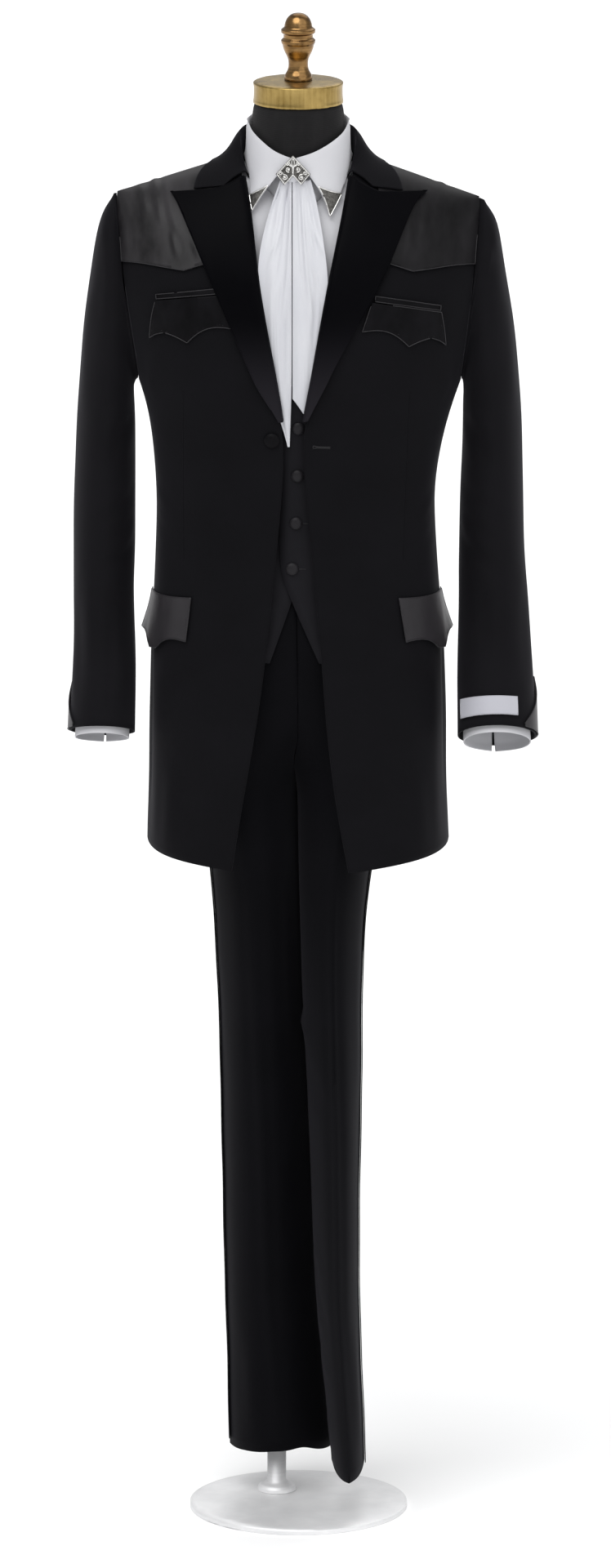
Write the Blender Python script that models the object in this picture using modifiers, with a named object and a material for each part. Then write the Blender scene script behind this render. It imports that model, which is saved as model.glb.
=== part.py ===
# Western tuxedo on a limbless dress form: coat, vest, trousers, shirt and cravat.
# Metres, +Z up, the garment faces -Y. The origin is the middle of the base's underside.
# "right" is the wearer's right, at -X, and side is -1 there and +1 on the wearer's left.
# Cloth walls are lofts between sections, because each is a ring unlike the next.

from math import asin, cos, hypot, pi, radians, sin, sqrt

import bmesh
import bpy
from mathutils import Vector

# Driving dimensions of the coat
hem_height = 0.872
shoulder_base = 1.60      # above this the body rounds over to the shoulder ridge
neck_height = 1.765       # shoulder ridge beside the neck
armpit_height = 1.478
neck_side = 0.078         # the shoulders slope down from here
slope_begins = 1.55
shoulder_slope = {-1: 0.317, 1: 0.360}
front_rounding = 1.3
back_rounding = 2.2
boxiness = 0.10           # how square the body's sections are
neckline_radius = 0.0745
neck_notch = 0.055        # half turn of the flat foot of a whole piece's neckline
back_neckline_radius = 0.0765

# Cloth and seams
coat_cloth = 0.0018
satin_cloth = 0.0011
lapel_cloth = 0.0020
vest_cloth = 0.0012
shirt_cloth = 0.0010
trouser_cloth = 0.0016
seam_gap = 0.0006
seam_turn = radians(0.12)

# Height, half width, front depth, back depth, centre x of the coat's body
body_sections = [
    (0.860, 0.1925, 0.151, 0.150, 0.0000),
    (0.960, 0.1892, 0.145, 0.148, -0.0010),
    (1.050, 0.1885, 0.140, 0.145, -0.0005),
    (1.140, 0.1860, 0.136, 0.140, -0.0010),
    (1.225, 0.1800, 0.130, 0.128, -0.0025),
    (1.300, 0.1755, 0.125, 0.114, -0.0035),
    (1.363, 0.1765, 0.124, 0.108, -0.0035),
    (1.404, 0.1825, 0.126, 0.112, -0.0010),
    (1.450, 0.1935, 0.130, 0.120, 0.0015),
    (1.480, 0.2035, 0.132, 0.124, 0.0020),
    (1.550, 0.2220, 0.131, 0.127, 0.0015),
    (1.600, 0.2310, 0.128, 0.126, 0.0010),
    (1.660, 0.2315, 0.128, 0.126, 0.0000),
    (1.765, 0.2285, 0.128, 0.126, 0.0000),
]

# Height, half of the armhole's opening as a turn round the body in degrees
armhole = [
    (1.478, 0.0),
    (1.484, 9.5),
    (1.495, 14.0),
    (1.520, 19.0),
    (1.560, 23.0),
    (1.600, 24.7),
    (1.660, 21.2),
    (1.700, 18.7),
    (1.740, 12.0),
    (1.765, 7.6),
]

# Heights of the rows below the shoulder, then shares of the way over it
skirt_rows = [0.872, 0.940, 1.010, 1.080, 1.150, 1.220, 1.280, 1.340, 1.400, 1.445]
chest_rows = [1.4755, 1.484, 1.495, 1.520, 1.560, 1.600]
shoulder_shares = [0.14, 0.29, 0.44, 0.58, 0.71, 0.83, 0.92]
back_skirt_rows = [0.872, 0.960, 1.050, 1.140, 1.225, 1.300, 1.363, 1.404, 1.450]
neckline_degrees = [1, 19, 37, 54, 70, 83]    # the back's rows meet the neckline here

# Height and x of each front's opening edge; above the button it is the roll line
front_edges = {
    -1: [
        (0.860, -0.0860), (0.940, -0.0740), (1.001, -0.0630), (1.075, -0.0505), (1.127, -0.0430),
        (1.187, -0.0370), (1.248, -0.0310), (1.311, -0.0240), (1.370, -0.0195), (1.440, -0.0175),
        (1.500, -0.0262), (1.564, -0.0381), (1.624, -0.0484), (1.711, -0.0587), (1.752, -0.0665),
    ],
    1: [
        (0.860, 0.0660), (0.955, 0.0477), (1.026, 0.0387), (1.098, 0.0320), (1.170, 0.0276),
        (1.235, 0.0207), (1.311, 0.0136), (1.370, 0.0090), (1.440, 0.0042), (1.500, 0.0148),
        (1.564, 0.0258), (1.624, 0.0370), (1.711, 0.0556), (1.752, 0.0635),
    ],
}
lapel_foot = 1.448        # the turned front begins here
roll_setback = 0.0052     # the front's edge lies this far inside the lapel's roll

# Roll height, outer edge x and height, and dip of the middle, for each lapel
lapel_rows = {
    -1: [
        (1.450, 0.0310, 1.4500, 0.0), (1.500, 0.0530, 1.4970, 0.0), (1.564, 0.0860, 1.5730, 0.0),
        (1.624, 0.1202, 1.6500, 0.0), (1.672, 0.1410, 1.6950, 0.0), (1.711, 0.1525, 1.7170, 0.0020),
        (1.7475, 0.1590, 1.7235, 0.0085),
    ],
    1: [
        (1.450, 0.0180, 1.4520, 0.0), (1.500, 0.0365, 1.5020, 0.0), (1.564, 0.0700, 1.5650, 0.0),
        (1.624, 0.1045, 1.6250, 0.0), (1.672, 0.1290, 1.6800, 0.0), (1.711, 0.1450, 1.7120, 0.0020),
        (1.7475, 0.1605, 1.7235, 0.0115),
    ],
}
# Distance from the roll's edge, height over the body: the roll, then the flat lapel
lapel_roll = [
    (0.0, -0.0004), (0.0030, 0.0046), (0.0085, 0.0062), (0.030, 0.0054), (0.072, 0.0053), (0.20, 0.0032),
]

# Ring, inner x and height, outer x and height, centre y, half depth, lift of the front
sleeve_rings = {
    -1: [
        (0, 0.2045, 1.4780, 0.2290, 1.7190, 0.000, 0.0615, 0.000),
        (1, 0.2060, 1.4755, 0.2355, 1.7165, 0.000, 0.0618, 0.000),
        (2, 0.2066, 1.4720, 0.2460, 1.7000, 0.000, 0.0640, 0.000),
        (3, 0.2068, 1.4670, 0.2552, 1.6680, 0.000, 0.0680, 0.000),
        (4, 0.2068, 1.4590, 0.2625, 1.6200, 0.002, 0.0710, 0.000),
        (5, 0.2060, 1.4450, 0.2708, 1.5620, 0.004, 0.0735, 0.000),
        (6, 0.2046, 1.4200, 0.2768, 1.4920, 0.006, 0.0725, 0.000),
        (7, 0.2052, 1.3780, 0.2820, 1.4150, 0.008, 0.0705, 0.000),
        (8, 0.2056, 1.3250, 0.2850, 1.3400, 0.009, 0.0680, 0.000),
        (9, 0.2050, 1.2700, 0.2860, 1.2720, 0.005, 0.0650, 0.002),
        (10, 0.2080, 1.2150, 0.2858, 1.2150, -0.003, 0.0615, 0.005),
        (11, 0.2065, 1.1600, 0.2850, 1.1600, -0.017, 0.0580, 0.010),
        (12, 0.2045, 1.1050, 0.2870, 1.1050, -0.035, 0.0550, 0.015),
        (13, 0.2055, 1.0360, 0.2904, 1.0380, -0.060, 0.0520, 0.018),
    ],
    1: [
        (0, 0.2055, 1.4780, 0.2310, 1.7080, 0.000, 0.0615, 0.000),
        (1, 0.2070, 1.4755, 0.2400, 1.7060, 0.000, 0.0618, 0.000),
        (2, 0.2076, 1.4720, 0.2505, 1.6900, 0.000, 0.0640, 0.000),
        (3, 0.2078, 1.4670, 0.2570, 1.6520, 0.000, 0.0680, 0.000),
        (4, 0.2078, 1.4590, 0.2640, 1.6080, 0.002, 0.0710, 0.000),
        (5, 0.2072, 1.4450, 0.2730, 1.5540, 0.004, 0.0735, 0.000),
        (6, 0.2068, 1.4200, 0.2795, 1.4920, 0.006, 0.0725, 0.000),
        (7, 0.2062, 1.3780, 0.2846, 1.4150, 0.008, 0.0705, 0.000),
        (8, 0.2036, 1.3250, 0.2858, 1.3400, 0.009, 0.0680, 0.000),
        (9, 0.2025, 1.2700, 0.2865, 1.2720, 0.004, 0.0650, 0.002),
        (10, 0.2020, 1.2150, 0.2910, 1.2150, -0.006, 0.0620, 0.006),
        (11, 0.2013, 1.1600, 0.2950, 1.1600, -0.022, 0.0590, 0.012),
        (12, 0.1998, 1.1050, 0.2990, 1.1050, -0.044, 0.0565, 0.019),
        (13, 0.2000, 1.0340, 0.3020, 1.0340, -0.074, 0.0540, 0.026),
    ],
}
last_ring = 13
sleeve_sides = 16
armhole_gap = 0.0014

# Turn round the neck in degrees, fold height, outer edge x and height over the body
collar_sections = [
    (58, 1.7500, 0.1300, 1.7450),
    (66, 1.7600, 0.1270, 1.7560),
    (76, 1.7780, 0.1180, 1.7635),
    (86, 1.7900, 0.1090, 1.7648),
    (98, 1.7965, 0.1060, 1.7630),
    (114, 1.7990, 0.0990, 1.7570),
    (132, 1.8000, 0.0800, 1.7450),
    (156, 1.8010, 0.0430, 1.7320),
    (180, 1.8015, 0.0000, 1.7280),
]
collar_out = 0.0046        # the fall's underside over the body's surface
stand_radius = 0.0722
fall_radius = 0.0795
gorge_bow = 0.0115         # how far the collar's ends dip to the lapels' notch

# How deep each inner layer lies at the shoulder and lower down
vest_depth = (0.0038, 0.0110)
under_vest_depth = (0.0038, 0.0132)
vest_side_depth = 0.0080
shirt_depth = (0.0074, 0.0196)
form_depth = (0.0120, 0.0280)

# Height, outer x, inner x, front y and back y of each trouser leg
leg_sections = {
    -1: [
        (0.072, -0.0886, 0.0430, -0.006, 0.145), (0.195, -0.0910, 0.0310, -0.014, 0.142),
        (0.290, -0.0940, 0.0210, -0.022, 0.139), (0.398, -0.0967, 0.0180, -0.032, 0.134),
        (0.522, -0.0980, 0.0150, -0.044, 0.128), (0.632, -0.1000, 0.0070, -0.056, 0.122),
        (0.725, -0.1035, 0.0038, -0.068, 0.116), (0.834, -0.1065, 0.0000, -0.084, 0.112),
        (0.920, -0.1230, -0.0006, -0.098, 0.114), (1.000, -0.1480, -0.0006, -0.108, 0.120),
        (1.080, -0.1600, -0.0006, -0.112, 0.122),
    ],
    1: [
        (0.066, 0.0850, 0.0450, -0.124, 0.096), (0.195, 0.0810, 0.0330, -0.122, 0.098),
        (0.290, 0.0765, 0.0232, -0.120, 0.100), (0.398, 0.0772, 0.0202, -0.118, 0.101),
        (0.522, 0.0800, 0.0172, -0.115, 0.103), (0.632, 0.0815, 0.0092, -0.112, 0.105),
        (0.725, 0.0805, 0.0060, -0.110, 0.107), (0.834, 0.0862, 0.0022, -0.108, 0.110),
        (0.920, 0.1080, 0.0006, -0.110, 0.114), (1.000, 0.1380, 0.0006, -0.112, 0.120),
        (1.080, 0.1560, 0.0006, -0.114, 0.122),
    ],
}
trouser_depth = 0.0158
waistband_depth = 0.0165
trunk_below = 0.940       # the trunk has parted into legs here
trunk_above = 1.070
trouser_top = 1.218
waistband_top = 1.252
leg_rows = [0.0, 0.09, 0.20, 0.33, 0.47, 0.60, 0.70, 0.76, 0.80, 0.85, 0.92, 1.0]

# Dress form
form_neck_radius = 0.0598
form_neck_top = 1.8332
pole_x = -0.028
pole_y = 0.042
pole_radius = 0.0125
base_radius = 0.140
base_thickness = 0.009
face_gap = 0.0003
form_bottom = 1.080

collection_name = "western_tuxedo"


def clear_scene():
    for thing in list(bpy.data.objects):
        bpy.data.objects.remove(thing, do_unlink=True)


def make_material(name, colour, roughness, metallic=0.0):
    material = bpy.data.materials.new(name)
    material.use_nodes = True
    shader = material.node_tree.nodes["Principled BSDF"]
    shader.inputs["Base Color"].default_value = (*colour, 1.0)
    shader.inputs["Roughness"].default_value = roughness
    shader.inputs["Metallic"].default_value = metallic
    return material


finishes = {
    "wool": ((0.012, 0.012, 0.015), 0.85, 0.0),
    "satin": ((0.040, 0.036, 0.038), 0.40, 0.0),
    "lapel_satin": ((0.004, 0.004, 0.006), 0.55, 0.0),
    "shirting": ((0.760, 0.760, 0.800), 0.80, 0.0),
    "label_cloth": ((0.700, 0.700, 0.740), 0.60, 0.0),
    "silver": ((0.550, 0.540, 0.520), 0.30, 1.0),
    "jersey": ((0.010, 0.010, 0.012), 0.90, 0.0),
    "brass": ((0.420, 0.300, 0.130), 0.35, 1.0),
    "antique_brass": ((0.200, 0.100, 0.035), 0.35, 1.0),
    "steel": ((0.700, 0.700, 0.710), 0.30, 1.0),
}


def finish_object(thing, finish):
    colour, roughness, metallic = finishes[finish]
    thing.data.materials.clear()
    thing.data.materials.append(make_material(thing.name + "_finish", colour, roughness, metallic))


def add_object(name, mesh, finish):
    thing = bpy.data.objects.new(name, mesh)
    bpy.data.collections[collection_name].objects.link(thing)
    finish_object(thing, finish)
    mesh.shade_smooth()
    mesh.set_sharp_from_angle(angle=radians(50))
    return thing


def blend(start, end, share):
    return start + (end - start) * share


def ease(low, high, value):
    share = min(1.0, max(0.0, (value - low) / (high - low)))
    return share * share * (3 - 2 * share)


def reading(table, key):
    # The table's row at a key in its first column, on a smooth curve through its rows
    last = len(table) - 2
    place = 0
    while place < last and key > table[place + 1][0]:
        place += 1
    low, high = table[place], table[place + 1]
    span = high[0] - low[0]
    share = min(1.0, max(0.0, (key - low[0]) / span))
    before = table[max(0, place - 1)]
    after = table[min(len(table) - 1, place + 2)]
    values = []
    for column in range(1, len(low)):
        slope_in = (high[column] - before[column]) / (high[0] - before[0]) * span
        slope_out = (after[column] - low[column]) / (after[0] - low[0]) * span
        cube, square = share ** 3, share ** 2
        values.append(
            low[column] * (2 * cube - 3 * square + 1)
            + slope_in * (cube - 2 * square + share)
            + high[column] * (3 * square - 2 * cube)
            + slope_out * (cube - square)
        )
    return values


def straight_reading(table, key):
    # The same on straight lines between the rows
    place = 0
    while place < len(table) - 2 and key > table[place + 1][0]:
        place += 1
    low, high = table[place], table[place + 1]
    share = min(1.0, max(0.0, (key - low[0]) / (high[0] - low[0])))
    return [blend(a, b, share) for a, b in zip(low[1:], high[1:])]


# The body's surface. A spot on it is a point and the normal there.
# A level is the row's height up to the shoulder's base and then runs over the shoulder,
# so that rows stay even where the body rounds over to the ridge.

def height_of(level):
    if level <= shoulder_base:
        return level
    rise = neck_height - shoulder_base
    share = (level - shoulder_base) / (2 * rise)
    return shoulder_base + rise * (1 - (1 - share) ** 2)


def level_of(height):
    if height <= shoulder_base:
        return height
    rise = neck_height - shoulder_base
    left = max(0.0, 1 - (height - shoulder_base) / rise)
    return shoulder_base + 2 * rise * (1 - sqrt(left))


def shoulder_level(share):
    return shoulder_base + 2 * (neck_height - shoulder_base) * share


def shoulder_drop(x, height):
    slope = shoulder_slope[1 if x > 0 else -1]
    return ease(slope_begins, neck_height, height) * slope * max(0.0, abs(x) - neck_side)


def body_point(turn, level):
    height = height_of(level)
    half, front, back, centre = reading(body_sections, height)
    if height > shoulder_base:
        share = min(1.0, (height - shoulder_base) / (neck_height - shoulder_base))
        front *= sqrt(max(0.0, 1 - share ** front_rounding))
        back *= sqrt(max(0.0, 1 - share ** back_rounding))
    box = boxiness * sin(2 * turn)
    depth = front if cos(turn) >= 0 else back
    x = centre + half * sin(turn + box)
    return Vector((x, -depth * cos(turn - box), height - shoulder_drop(x, height)))


def body_spot(turn, level, out=0.0):
    step = 0.0005
    top = shoulder_level(1.0)
    across = body_point(turn + step, level) - body_point(turn - step, level)
    up = body_point(turn, min(top, level + step)) - body_point(turn, level - step)
    normal = across.cross(up).normalized()
    return body_point(turn, level) + normal * out, normal


def turn_at(x, height, behind=False):
    half, front, back, centre = reading(body_sections, min(height, neck_height))
    angle = asin(min(1.0, max(-1.0, (x - centre) / half)))
    turn = angle
    for repeat in range(12):
        turn = angle - boxiness * sin(2 * turn)
    if behind:
        turn = (pi if x >= 0 else -pi) - turn
    return turn


def body_place(x, z):
    # Turn and level of the front's surface at a place seen from the front
    height = z
    for repeat in range(12):
        height = min(neck_height - 0.00001, z + shoulder_drop(x, height))
    return turn_at(x, height), level_of(height)


def surface_under(x, y):
    # Turn and level of the body's surface below a place seen from above, near the shoulders
    behind = y > 0
    low, high = 1.50, neck_height - 0.000001
    for repeat in range(34):
        middle = (low + high) / 2
        point = body_point(turn_at(x, middle, behind), level_of(middle))
        if abs(point.y) > abs(y):
            low = middle
        else:
            high = middle
    return turn_at(x, low, behind), level_of(low)


def layer_depth(depths, level):
    near, far = depths
    return blend(far, near, ease(1.60, 1.74, height_of(level)))


def neckline_turn(level, radius, behind=False, out=0.0):
    # Turn where the layer at this level leaves the circle round the neck
    low, high = 0.0, pi / 2
    for repeat in range(26):
        middle = (low + high) / 2
        point = body_spot(pi - middle if behind else middle, level, out)[0]
        if hypot(point.x, point.y) < radius:
            low = middle
        else:
            high = middle
    return low


def opening_turn(level, extra=0.0):
    height = height_of(level)
    if height <= armpit_height:
        return seam_turn
    extra *= min(1.0, (height - armpit_height) / 0.045)
    return radians(straight_reading(armhole, height)[0] + extra)


def levels_from(heights, radius=0.0, top_share=0.998):
    # Rows over the shoulder; behind, a row meets the neckline of this radius at each turn
    if not radius:
        return heights + [shoulder_level(share) for share in shoulder_shares + [top_share]]
    levels = [shoulder_level(share) for share in (0.15, 0.32, 0.47)]
    for degrees in neckline_degrees:
        around = radians(degrees)
        levels.append(surface_under(radius * sin(around), radius * cos(around))[1])
    return heights + levels + [shoulder_level(top_share)]


# Walls

def halves_of(at):
    # Both faces of a wall are split along the same diagonal, so that they never cross
    if (at[0] - at[2]).length <= (at[1] - at[3]).length:
        return (0, 1, 2), (0, 2, 3)
    return (0, 1, 3), (1, 2, 3)


def build_wall(name, outer, inner, finish, closed=False, cut_away=()):
    # A solid between two grids of points, open or joined round into a tube
    rows, columns = len(outer), len(outer[0])
    work = bmesh.new()
    front, back = [
        [[work.verts.new(point) for point in row] for row in grid] for grid in (outer, inner)
    ]
    used = {}
    for r in range(rows - 1):
        for c in range(columns if closed else columns - 1):
            if (r, c) in cut_away:
                continue
            n = (c + 1) % columns
            corners = [(r, c), (r, n), (r + 1, n), (r + 1, c)]
            for half in halves_of([outer[i][j] for i, j in corners]):
                work.faces.new([front[i][j] for i, j in (corners[k] for k in half)])
                work.faces.new([back[i][j] for i, j in (corners[k] for k in reversed(half))])
            for start, end in zip(corners, corners[1:] + corners[:1]):
                key = (min(start, end), max(start, end))
                used[key] = used.get(key, 0) + 1
    for ((i, j), (k, m)), count in used.items():
        if count == 1:
            work.faces.new((front[i][j], front[k][m], back[k][m], back[i][j]))
    loose = [vert for vert in work.verts if not vert.link_faces]
    bmesh.ops.delete(work, geom=loose, context="VERTS")
    bmesh.ops.recalc_face_normals(work, faces=work.faces)
    mesh = bpy.data.meshes.new(name)
    work.to_mesh(mesh)
    work.free()
    return add_object(name, mesh, finish)


def wall_of_spots(name, spots, thickness, finish, closed=False, cut_away=()):
    outer = [[point for point, normal in row] for row in spots]
    inner = [[point - normal * thickness for point, normal in row] for row in spots]
    return build_wall(name, outer, inner, finish, closed, cut_away)


def wall_of_points(name, points, thickness, finish, inward=1):
    # Normals come from each point's neighbours in the grid
    rows, columns = len(points), len(points[0])
    inner = []
    for r in range(rows):
        line = []
        for c in range(columns):
            before, after = points[r][max(0, c - 1)], points[r][min(columns - 1, c + 1)]
            below, above = points[max(0, r - 1)][c], points[min(rows - 1, r + 1)][c]
            normal = (after - before).cross(above - below).normalized()
            line.append(points[r][c] - normal * thickness * inward)
        inner.append(line)
    return build_wall(name, points, inner, finish)


def turned(name, profile, sides, finish, centre=(0.0, 0.0)):
    # A turned piece: its profile runs down the outer side, from the top to the bottom
    mesh = bpy.data.meshes.new(name)
    edges = [(i, i + 1) for i in range(len(profile) - 1)]
    mesh.from_pydata([(radius, 0.0, z) for radius, z in profile], edges, [])
    thing = add_object(name, mesh, finish)
    thing.location = (centre[0], centre[1], 0.0)
    screw = thing.modifiers.new("turned", "SCREW")
    screw.steps = sides
    screw.render_steps = sides
    screw.use_merge_vertices = True
    screw.merge_threshold = 0.00001
    screw.use_smooth_shade = True
    return thing


def flat_plate(name, corners, thickness, finish):
    # A flat plate on these corners, thickened towards -Y
    facing = (corners[1] - corners[0]).cross(corners[2] - corners[0]).normalized()
    if facing.y > 0:
        facing = -facing
    flat = [corner - facing * (corner - corners[0]).dot(facing) for corner in corners]
    work = bmesh.new()
    face = work.faces.new([work.verts.new(corner) for corner in flat])
    face.normal_update()
    if face.normal.dot(facing) < 0:
        face.normal_flip()
    mesh = bpy.data.meshes.new(name)
    work.to_mesh(mesh)
    work.free()
    thing = add_object(name, mesh, finish)
    solidify = thing.modifiers.new("thickness", "SOLIDIFY")
    solidify.thickness = thickness
    solidify.offset = 1.0
    return thing


# Coat

def front_edge_x(side, height):
    return reading(front_edges[side], height)[0]


def front_panel(name, side, edge_turn, levels, depths, extra, radius, columns, cloth, finish,
                side_depth=0.0):
    spots = []
    for level in levels:
        out = -layer_depth(depths, level)
        lift = -layer_depth((depths[0], side_depth), level) - out if side_depth else 0.0
        start = side * edge_turn(level)
        if height_of(level) > 1.68:
            start = max(start, neckline_turn(level, radius, False, out))
        end = pi / 2 - opening_turn(level, extra)
        row = []
        for c in range(columns + 1):
            share = c / columns
            turn = side * blend(start, end, share)
            row.append(body_spot(turn, level, out + lift * ease(0.3, 1.0, share)))
        spots.append(row)
    return wall_of_spots(name, spots, cloth, finish)


def back_panel(name, side, levels, depths, extra, radius, columns, cloth, finish):
    spots = []
    for level in levels:
        out = -layer_depth(depths, level)
        start = pi - max(seam_turn, neckline_turn(level, radius, True, out))
        end = pi / 2 + opening_turn(level, extra)
        turns = [side * blend(start, end, c / columns) for c in range(columns + 1)]
        spots.append([body_spot(turn, level, out) for turn in turns])
    return wall_of_spots(name, spots, cloth, finish)


def whole_row(level, out, behind, extra, radius, columns):
    # Turns across a piece cut whole, from one armhole to the other, parted at the neck
    cut = neckline_turn(level, radius, behind, out)
    start, end = max(cut, neck_notch), pi / 2 - opening_turn(level, extra)
    half = [blend(end, start, c / columns) for c in range(columns + 1)]
    turns = [-turn for turn in half] + half[::-1]
    if behind:
        turns = [(pi if turn > 0 else -pi) - turn for turn in turns]
    return turns, cut > neck_notch


def whole_panel(name, behind, levels, depths, extra, radius, columns, cloth, finish):
    spots, parted = [], []
    for level in levels:
        out = -layer_depth(depths, level)
        turns, open_here = whole_row(level, out, behind, extra, radius, columns)
        spots.append([body_spot(turn, level, out) for turn in turns])
        parted.append(open_here)
    notch = {(r, columns) for r in range(len(spots) - 1) if parted[r + 1]}
    return wall_of_spots(name, spots, cloth, finish, False, notch)


def coat_front(side):
    name = "coat_front_right" if side < 0 else "coat_front_left"

    def edge_turn(level):
        height = height_of(level)
        setback = roll_setback * ease(lapel_foot - 0.012, lapel_foot + 0.004, height)
        return turn_at(front_edge_x(side, height) + side * setback, height)

    levels = levels_from(skirt_rows + chest_rows)
    front_panel(name, side, edge_turn, levels, (0, 0), 0, neckline_radius, 8, coat_cloth, "wool")


def coat_back(side):
    name = "coat_back_right" if side < 0 else "coat_back_left"
    radius = back_neckline_radius
    levels = levels_from(back_skirt_rows + chest_rows, radius)
    back_panel(name, side, levels, (0, 0), 0, radius, 6, coat_cloth, "wool")


def armhole_point(side, around):
    # The armhole's edge: 0 at the armpit, then up the front to the shoulder and down the back
    share = (1 - cos(around)) / 2
    level = level_of(blend(armpit_height, neck_height, share))
    opening = opening_turn(level)
    turn = pi / 2 - opening if sin(around) >= 0 else pi / 2 + opening
    point = body_point(side * turn, level)
    point.x += side * armhole_gap
    return point


def sleeve_point(side, ring, around):
    inner_x, inner_z, outer_x, outer_z, centre_y, depth, lift = reading(sleeve_rings[side], ring)
    share = (1 - cos(around)) / 2
    ahead = sin(around)
    point = Vector((
        side * blend(inner_x, outer_x, share),
        centre_y - depth * ahead,
        blend(inner_z, outer_z, share) + lift * ahead,
    ))
    hold = max(0.0, 1 - ring / 2)
    return point.lerp(armhole_point(side, around), hold)


def sleeve_spot(side, ring, around, out=0.0):
    step = 0.01
    low, high = max(0.0, ring - step), min(float(last_ring), ring + step)
    along = sleeve_point(side, high, around) - sleeve_point(side, low, around)
    across = sleeve_point(side, ring, around + step) - sleeve_point(side, ring, around - step)
    normal = along.cross(across).normalized() * side
    return sleeve_point(side, ring, around) + normal * out, normal


def coat_sleeve(side):
    name = "sleeve_right" if side < 0 else "sleeve_left"
    spots = []
    for ring in range(last_ring + 1):
        row = [sleeve_spot(side, ring, 2 * pi * c / sleeve_sides) for c in range(sleeve_sides)]
        spots.append(row)
    wall_of_spots(name, spots, coat_cloth, "wool", closed=True)


def lapel(side):
    name = "lapel_right" if side < 0 else "lapel_left"
    table = [(index, *row) for index, row in enumerate(lapel_rows[side])]
    rows, near, far = 10, (0.0, 0.0030, 0.0085), 6
    spots = []
    for r in range(rows + 1):
        roll_z, outer_x, outer_z, dip = reading(table, (len(table) - 1) * r / rows)
        roll_x = abs(front_edge_x(side, roll_z))
        roll_x = roll_x if side * front_edge_x(side, roll_z) > 0 else -roll_x
        width = hypot(outer_x - roll_x, outer_z - roll_z)
        distances = list(near) + [blend(near[-1], width, c / far) for c in range(1, far + 1)]
        row = []
        for distance in distances:
            share = distance / width
            x = blend(roll_x, outer_x, share)
            z = blend(roll_z, outer_z, share) - dip * min(share / 0.34, (1 - share) / 0.66)
            out = straight_reading(lapel_roll, distance)[0]
            row.append(body_spot(*body_place(side * x, z), out))
        spots.append(row)
    wall_of_spots(name, spots, lapel_cloth, "lapel_satin")


def collar_row(side, section):
    # Stand up the neck, fold, then a fall that flares onto the shoulders
    around, fold, edge_x, edge_height = section
    turn = radians(around)
    behind = around > 92

    def neck(radius, z):
        return Vector((side * radius * sin(turn), -radius * cos(turn), z))

    edge = body_point(turn_at(side * edge_x, edge_height, behind), level_of(edge_height))
    root = neck(fall_radius, 0.0)
    rest_spot = body_spot(*surface_under(root.x, root.y))
    lift = max(0.0, fold - 0.0060 - rest_spot[0].z - collar_out)
    fall = []
    bow = gorge_bow * (1 - ease(58, 74, around))
    for share in (0.0, 0.2, 0.4, 0.7, 1.0):
        x, y = blend(root.x, edge.x, share), blend(root.y, edge.y, share)
        y -= bow * min(share / 0.4, (1 - share) / 0.6)
        spot = body_spot(*surface_under(x, y), collar_out)[0]
        spot.z += lift * (1 - share) ** 2.4
        fall.append(spot)
    foot = min(neckline_height(around), fold - 0.0060)
    stand = [neck(stand_radius, foot), neck(stand_radius, fold - 0.0035)]
    return stand + [neck(stand_radius + 0.0026, fold)] + fall


def neckline_height(around):
    # Height of the coat's neckline at a turn round the neck: low in front, lowest behind
    return blend(1.7500, 1.7640, ease(60, 90, around)) - 0.029 * ease(95, 170, around)


def coat_collar():
    sections = []
    for side in (-1, 1):
        half = [collar_row(side, section) for section in collar_sections]
        sections += half if side < 0 else list(reversed(half))[1:]
    wall_of_points("coat_collar", sections, 0.0016, "wool", inward=-1)


def finer(table, parts):
    # The table's rows with more rows between them, on the same smooth curve
    rows = []
    for low, high in zip(table, table[1:]):
        for part in range(parts):
            key = blend(low[0], high[0], part / parts)
            rows.append((key, *reading(table, key)))
    return rows + [table[-1]]


def yoke(side):
    name = "yoke_right" if side < 0 else "yoke_left"
    # Share across from the lapel to the armhole, height of the pointed lower edge
    lower_edge = [
        (0.0, 1.6427), (0.25, 1.6338), (0.42, 1.6405), (0.62, 1.6490), (0.85, 1.6514), (1.0, 1.6510),
    ]
    columns = [0.0, 0.12, 0.25, 0.38, 0.52, 0.68, 0.84, 1.0]
    rows = 6
    spots = []
    for r in range(rows + 1):
        row = []
        for share in columns:
            low = level_of(straight_reading(lower_edge, share)[0] + 0.012)
            level = blend(low, shoulder_level(0.995), r / rows)
            inner = max(turn_at(0.100, height_of(level)), neckline_turn(level, 0.088))
            outer = pi / 2 - opening_turn(level, 0.9)
            row.append(body_spot(side * blend(inner, outer, share), level, 0.0011 + satin_cloth))
        spots.append(row)
    wall_of_spots(name, spots, satin_cloth, "satin")


def scalloped_flap(name, side, stations, rise, stand_off, thickness, base_out, columns, rows):
    # Stations run across the flap: share, turn and height at the top, then at the bottom
    spots = []
    corners = [row[0] for row in stations]
    for r in range(rows + 1):
        down = r / rows
        row = []
        for c in range(columns + 1):
            share = c / columns
            top_turn, top_z, low_turn, low_z = straight_reading(stations, share)
            place = sum(1 for corner in corners[1:-1] if share > corner)
            local = (share - corners[place]) / (corners[place + 1] - corners[place])
            low_z += rise * sin(pi * local)
            turn = radians(blend(top_turn, low_turn, down))
            z = blend(top_z, low_z, down)
            level = level_of(z + 0.010 * ease(1.52, 1.60, z))
            out = base_out + thickness + stand_off * down ** 1.5 * share ** 2
            row.append(body_spot(side * turn, level, out))
        spots.append(row)
    wall_of_spots(name, spots, thickness, "satin")


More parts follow.
